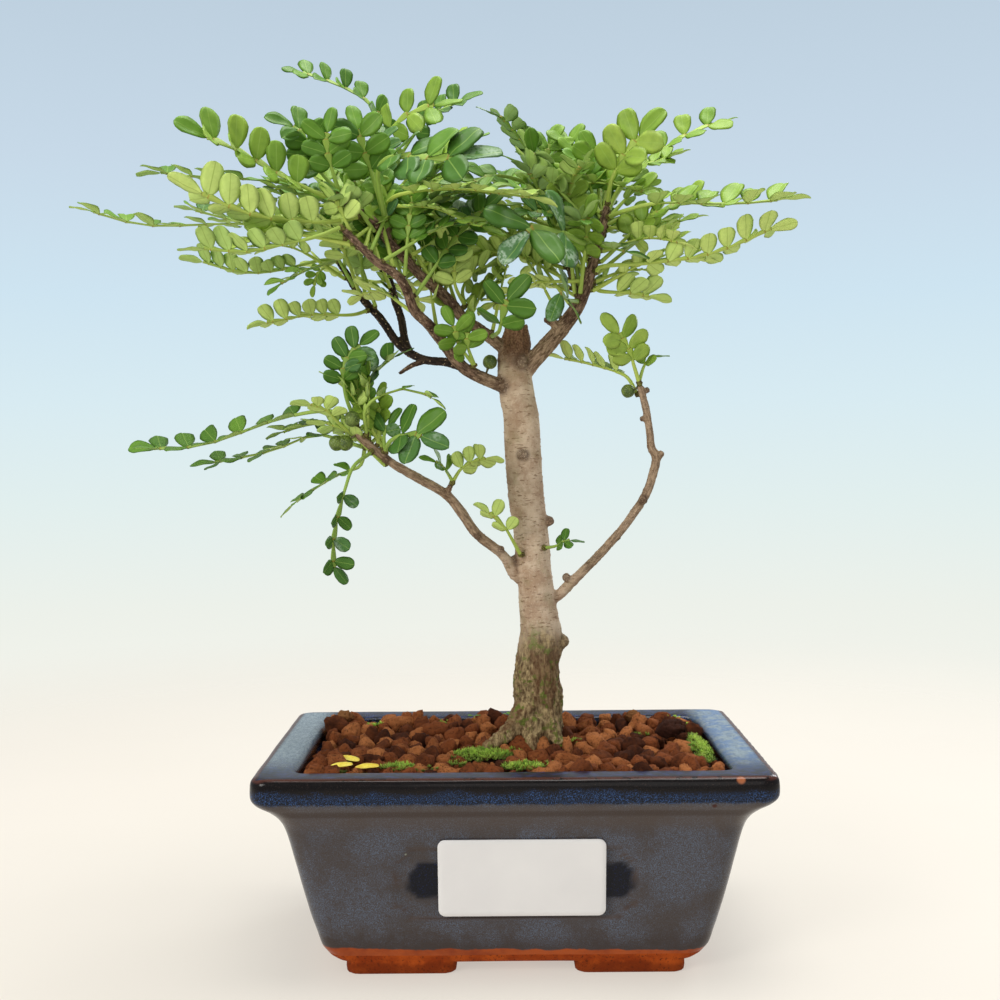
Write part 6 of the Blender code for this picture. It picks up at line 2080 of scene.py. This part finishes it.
def grow_spray(node, limb, share, leaves):
    plan = SprayPlan()
    place, away = bud_place(limb, share, leaves)
    dice = random.Random(node)
    plan.add(place - away * 0.35, BUD_KIND, turn_to(away, away.orthogonal()), (1.0, 1.35, 1.0), 0.4)
    for leaf in leaves:
        add_leaf(plan, place, [sight(*point) for point in leaf.route], leaf, dice)
    mesh = grow(plan.guide(), spray_tree, spray_values())
    return finished_piece(node.replace("lea", "green_lea", 1).replace("sprout", "green_sprout"),
                          into_frame(mesh), node)


sprays = [grow_spray(node, *spray) for node, spray in SPRAYS.items()]
print(len(sprays), "sprays,", sum(len(spray.data.polygons) for spray in sprays), "faces")

# %% [markdown]
# ## Leaves that fill the crown
# The rows above are the leaves that can be told apart. Between them the real crown is full of more, too
# crowded for the imported part. They are dealt out by a seeded random number: each starts on a limb and ends
# somewhere inside one region of the crown in the front view, and one that would end too near or too far is
# dealt again. Each region has its own leaf sizes, tilts and greens. Those under the crown tilt back and show
# their undersides, and they and every leaf that ends low get paler, yellower greens: painted light, as where
# light falls through the crown.

# %% Fill the crown
Region = namedtuple("Region", "middle reach depth sizes lengths tilts tones")
REGIONS = {
    "top": Region(
        (468, 176), (176, 66), (-30, 46), (5.6, 7.6), (20, 46), (8, 18, 30, 55, 62),
        (0.25, 0.45, 0.55, 0.65, 0.8),
    ),
    # Leaves under the crown get high, pale tones: painted light, as they hang in its shade.
    "under": Region(
        (440, 262), (128, 64), (6, 52), (4.8, 6.4), (16, 42), (-46, -38, -30, -24, -34),
        (0.75, 0.9, 1.0, 1.0),
    ),
    "left": Region(
        (272, 212), (98, 50), (-34, 30), (5.2, 6.8), (18, 50), (-34, -12, 0, 10, 40), (0.35, 0.5, 0.6, 0.85),
    ),
    "right": Region(
        (668, 208), (96, 70), (-22, 34), (5.4, 7.2), (16, 48), (-34, -14, 2, 12, 50), (0.4, 0.6, 0.75, 0.9),
    ),
    "low": Region(
        (345, 405), (82, 60), (-24, 12), (5.0, 6.4), (12, 36), (-24, 5, 35, 60), (0.15, 0.3, 0.5, 0.8),
    ),
}
FILLINGS = [
    ("top", "left_upper_main", 0.45, 0.98, 13), ("top", "left_lower_main", 0.55, 0.98, 8),
    ("top", "upright_shoot", 0.3, 0.95, 5), ("top", "back_limb_second", 0.55, 0.97, 8),
    ("top", "middle_shoot", 0.25, 0.98, 14), ("top", "right_upper", 0.5, 0.98, 15),
    ("under", "left_upper_main", 0.1, 0.7, 7), ("under", "left_lower_main", 0.25, 0.75, 4),
    ("under", "back_limb_second", 0.3, 0.85, 6), ("under", "middle_shoot", 0.1, 0.7, 7),
    ("under", "right_upper", 0.35, 0.75, 6), ("left", "left_upper_main", 0.82, 0.98, 6),
    ("left", "left_lower_main", 0.8, 0.98, 6), ("left", "back_limb", 0.7, 0.98, 6),
    ("right", "right_upper", 0.55, 0.98, 9), ("right", "middle_shoot", 0.6, 0.98, 3),
    ("low", "left_lower", 0.8, 0.98, 8),
]
FOLDS = (8, 22, 38)
PALE_BELOW = 0.35


def deal_leaf(station, region, dice):
    """A leaf's end and its row, for a leaf that starts at this place on a limb."""
    for _ in range(200):
        angle, share = dice.uniform(0, 2 * math.pi), math.sqrt(dice.random())
        across = region.middle[0] + region.reach[0] * share * math.cos(angle)
        down = region.middle[1] + region.reach[1] * share * math.sin(angle)
        tip = sight(across, down, dice.uniform(*region.depth))
        way = tip - station.place
        if region.lengths[0] < way.length < region.lengths[1] and way.z > -0.35 * way.length:
            break
    size = dice.uniform(*region.sizes)
    pairs = max(2, min(6, round((way.length * 0.62 - size) / (0.62 * size))))
    front = ease(-tip.y, -10, 30)
    tilt = dice.choice(region.tilts) * (0.6 + 0.4 * front)
    # Leaves that end low get a paler tone: painted light falling through the crown.
    tone = min(dice.choice(region.tones) + PALE_BELOW * ease(down, 205, 250), 1)
    return tip, Leaf(pairs, size, tilt, tone, None, dice.choice(FOLDS))


def fill_limb(region, limb, low, high, count):
    plan = SprayPlan()
    dice = random.Random(f"fill {region} {limb}")
    for number in range(count):
        station = limb_station(limb, low + (high - low) * (number + dice.uniform(0.2, 0.8)) / count)
        tip, leaf = deal_leaf(station, REGIONS[region], dice)
        way = (tip - station.place).normalized()
        away = (way - station.along * way.dot(station.along)).normalized()
        start = station.place + away * (station.radius + 0.1)
        plan.add(start, BUD_KIND, turn_to(away, away.orthogonal()), (0.8, 0.9, 0.8), 0.4)
        middle = start.lerp(tip, 0.5) + Vector((0, 0, dice.uniform(0.06, 0.16) * (tip - start).length))
        add_leaf(plan, start + away * 0.5, [middle, tip], leaf, dice)
    mesh = grow(plan.guide(), spray_tree, spray_values())
    return finished_piece(f"filling_leaves_{region}_{limb}", into_frame(mesh))


fillings = [fill_limb(*filling) for filling in FILLINGS]
print(sum(filling[-1] for filling in FILLINGS), "filling leaves in", len(fillings), "pieces")

# %% [markdown]
# ## Small things that grew or fell
# The fallen leaflets are the same blade as on the tree, a little larger, turned yellow and lying flat. The
# seedlings are a thin stem with two or four round seed leaves, grown by the spray tree from a tiny plan.
# The fruits are small green berries with sunken oil glands, on short stalks from the bark.


# %% Fallen leaflets and seedlings
FALLEN_SIZE = (3.6, 1.75)
FALLEN_LEAN = 14.0
SEED_LEAF = 2.3


def make_yellow_leaf():
    finish = Finish("yellow_fallen_leaf", 0.35, 0.45)
    cloud = finish.step(finish.grain(0.4, 3), 0.35, 0.7)
    colour = finish.blend(cloud, (222, 190, 44), (246, 228, 92))
    spots = finish.step(finish.grain(1.2, 3, 0.7), 0.62, 0.72)
    colour = finish.over(colour, spots, 0.5, (170, 132, 40))
    finish.colour(colour)
    finish.relief(finish.grain(1.4, 3), 0.1, 0.6)
    return finish


def make_fallen(name, middle, turn, finish):
    """A leaflet that lies leaning a little to the front, turned in degrees from lying along it."""
    form = bmesh.new()
    form.from_mesh(leaf_shapes.objects["shape_1_leaflet"].data)
    bmesh.ops.subdivide_edges(form, edges=form.edges, cuts=1, use_grid_fill=True, smooth=0.6)
    length, width = 2 * FALLEN_SIZE[0], 2 * FALLEN_SIZE[1]
    form.transform(Matrix.Diagonal((width, length, 0.75 * width, 1)))
    form.transform(Matrix.Translation((0, -length / 2, 0)))
    form.transform(Matrix.Rotation(math.radians(turn - 90), 4, "Z"))
    form.transform(Matrix.Rotation(math.radians(FALLEN_LEAN), 4, "X"))
    low = min(vert.co.z for vert in form.verts)
    bmesh.ops.translate(form, vec=(*middle, RESTING_LEVEL + 0.35 - low), verts=form.verts)
    return finished_piece(name + "_blade", into_frame(mesh_of(form, [finish])), name)


def make_seedling(name, middle, leaves):
    """A stem with seed leaves all round its top."""
    x, y = middle
    low, high = RESTING_LEVEL - 0.6, RESTING_LEVEL + 3.5
    plan = SprayPlan()
    plan.stem([Vector((x, y, low)), Vector((x + 0.2, y, (low + high) / 2)), Vector((x, y, high))],
              [0.28, 0.24, 0.22], 0.9)
    for number in range(leaves):
        angle = 2 * math.pi * number / leaves + 0.25
        out = Vector((math.cos(angle), math.sin(angle), 0.12)).normalized()
        upper = (Vector((0, 0, 1)) - out * out.z).normalized()
        grown = (0.62 * SEED_LEAF, SEED_LEAF, SEED_LEAF)
        plan.add(Vector((x, y, high)), number % 2, turn_to(out, upper), grown, 0.4)
    mesh = grow(plan.guide(), spray_tree, spray_values())
    return finished_piece(name + "_sprout", into_frame(mesh), name)


yellow_leaf = make_yellow_leaf()
fallen = [make_fallen(name, *values, yellow_leaf) for name, values in FALLEN_LEAFLETS.items()]
seedlings = [make_seedling(name, *values) for name, values in SEEDLINGS.items()]
print(len(fallen), "fallen leaflets and", len(seedlings), "seedlings")

# %% Fruits
FRUITS = {
    "fruit_left_upper": (352, 419, -23, 2.4, 0.0), "fruit_left_twin": (341, 443, -19, 2.4, 2.6),
    "fruit_trunk": (490, 362, 0, 2.3, 0.0), "fruit_right": (628, 391, -10, 2.1, 0.0),
}
FRUIT_PITS = 90
FRUIT_STALK = 0.42
GOLDEN_ANGLE = 2.399963


def make_fruit_skin():
    finish = Finish("green_fruit_skin", 0.42, 0.5)
    cloud = finish.step(finish.grain(0.35, 3), 0.35, 0.68)
    colour = finish.blend(cloud, (66, 86, 26), (112, 132, 52))
    glands = finish.step(finish.cells(1.15), 0.34, 0.12)
    colour = finish.over(colour, glands, 0.6, (146, 158, 84))
    colour = finish.blend(finish.attribute("stalk"), colour, (92, 88, 44))
    finish.colour(colour)
    finish.relief(finish.calc("SUBTRACT", finish.grain(2.0, 3), glands), 0.12)
    return finish


def pitted_ball(form, place, radius, seed):
    """A berry with sunken oil glands, evenly spread by the golden angle."""
    glands = []
    for number in range(FRUIT_PITS):
        z = 1 - (2 * number + 1) / FRUIT_PITS
        angle = GOLDEN_ANGLE * number
        reach = math.sqrt(1 - z * z)
        glands.append(Vector((math.cos(angle) * reach, math.sin(angle) * reach, z)))
    made = bmesh.ops.create_icosphere(form, subdivisions=5, radius=1)["verts"]
    for vert in made:
        away = min((vert.co - gland).length for gland in glands)
        swell = 1 + 0.05 * noise.noise(vert.co * 1.5 + Vector((seed, 0, 0)))
        swell -= 0.055 * ease(away, 0.15, 0.03)
        vert.co = place + vert.co * radius * swell


def make_fruit(name, across, down, depth, radius, twin):
    place = sight(across, down, depth)
    form = bmesh.new()
    shifts = [0] if twin == 0 else [-twin / 2, twin / 2]
    for shift in shifts:
        pitted_ball(form, place + Vector((shift, 0, 0)), radius, across + shift)
    number = len(form.verts)
    bone = bark_bones[bark_tree.find(place)[1]]
    along = (bone.place - place).normalized()
    start, end = place + along * radius * 0.8, bone.place - along * bone.radius * 0.7
    side = along.orthogonal().normalized()
    other = along.cross(side)
    rings = []
    for step in range(5):
        middle = start.lerp(end, step / 4) + Vector((0, 0, -0.3 * math.sin(math.pi * step / 4)))
        thick = FRUIT_STALK * (1.25 - 0.5 * math.sin(math.pi * step / 4))
        rings.append(tube_ring(middle, side, other, 10, lambda angle: thick))
    loft(form, rings)
    mesh = mesh_of(form, [fruit_skin])
    stalks, = new_attributes(mesh, {"stalk": "FLOAT"})
    for index in range(number, len(mesh.vertices)):
        stalks[index].value = 1.0
    return finished_piece(name + "_berry", into_frame(mesh), name)


fruit_skin = make_fruit_skin()
bark_tree, bark_bones = bark_lookup(skeleton)
fruits = [make_fruit(name, *values) for name, values in FRUITS.items()]
print("fruits:", [fruit.name for fruit in fruits])

# %% [markdown]
# ## The drain screens
# A square of plastic mesh lies over each drainage hole, under the soil. It only shows through the hole from
# below. It is a grid whose edges become threads: Mesh to Curve and Curve to Mesh in a small tree.


# %% Drain screens
SCREEN_CELLS = 12
SCREEN_THREAD = 0.32


def screen_nodes():
    tree, given = new_nodes_tree("threads along edges", {"Thread": "Float", "Finish": "Material"})
    tubes = tubes_along(tree, given["Geometry"], 6, given["Thread"], {})
    solid = add_node(tree, "GeometryNodeRealizeInstances", {0: tubes}).outputs[0]
    dressed = add_node(tree, "GeometryNodeSetMaterial", {"Geometry": solid, "Material": given["Finish"]})
    add_node(tree, "NodeGroupOutput", {0: dressed.outputs[0]})
    return tree


def make_screen(node, finish):
    """Straight threads both ways, the second set just above the first."""
    low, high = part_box(node)
    low, high = (low - POT_MIDDLE) / MM, (high - POT_MIDDLE) / MM
    places, threads = [], []
    for number in range(SCREEN_CELLS + 1):
        share = number / SCREEN_CELLS
        x, y = low.x + share * (high.x - low.x), low.y + share * (high.y - low.y)
        front_to_back = ((x, low.y, low.z), (x, high.y, low.z))
        left_to_right = ((low.x, y, high.z), (high.x, y, high.z))
        for start, end in (front_to_back, left_to_right):
            threads.append((len(places), len(places) + 1))
            places += [Vector(start), Vector(end)]
    mesh = bpy.data.meshes.new("threads")
    mesh.from_pydata(places, threads, [])
    guide = bpy.data.objects.new("threads", mesh)
    mesh = grow(guide, screen_tree, {"Thread": SCREEN_THREAD, "Finish": finish.material})
    return finished_piece(node + "_mesh", into_frame(mesh), node)


def make_screen_plastic():
    finish = Finish("dark_screen_plastic", 0.5, 0.4)
    finish.colour(finish.blend(finish.grain(0.8, 3), (28, 38, 32), (58, 72, 62)))
    finish.relief(finish.grain(3.0, 3), 0.05)
    return finish


screen_tree = screen_nodes()
screen_plastic = make_screen_plastic()
screens = [make_screen(node, screen_plastic) for node in ("drain_screen_left", "drain_screen_right")]
print("screens:", [screen.name for screen in screens])
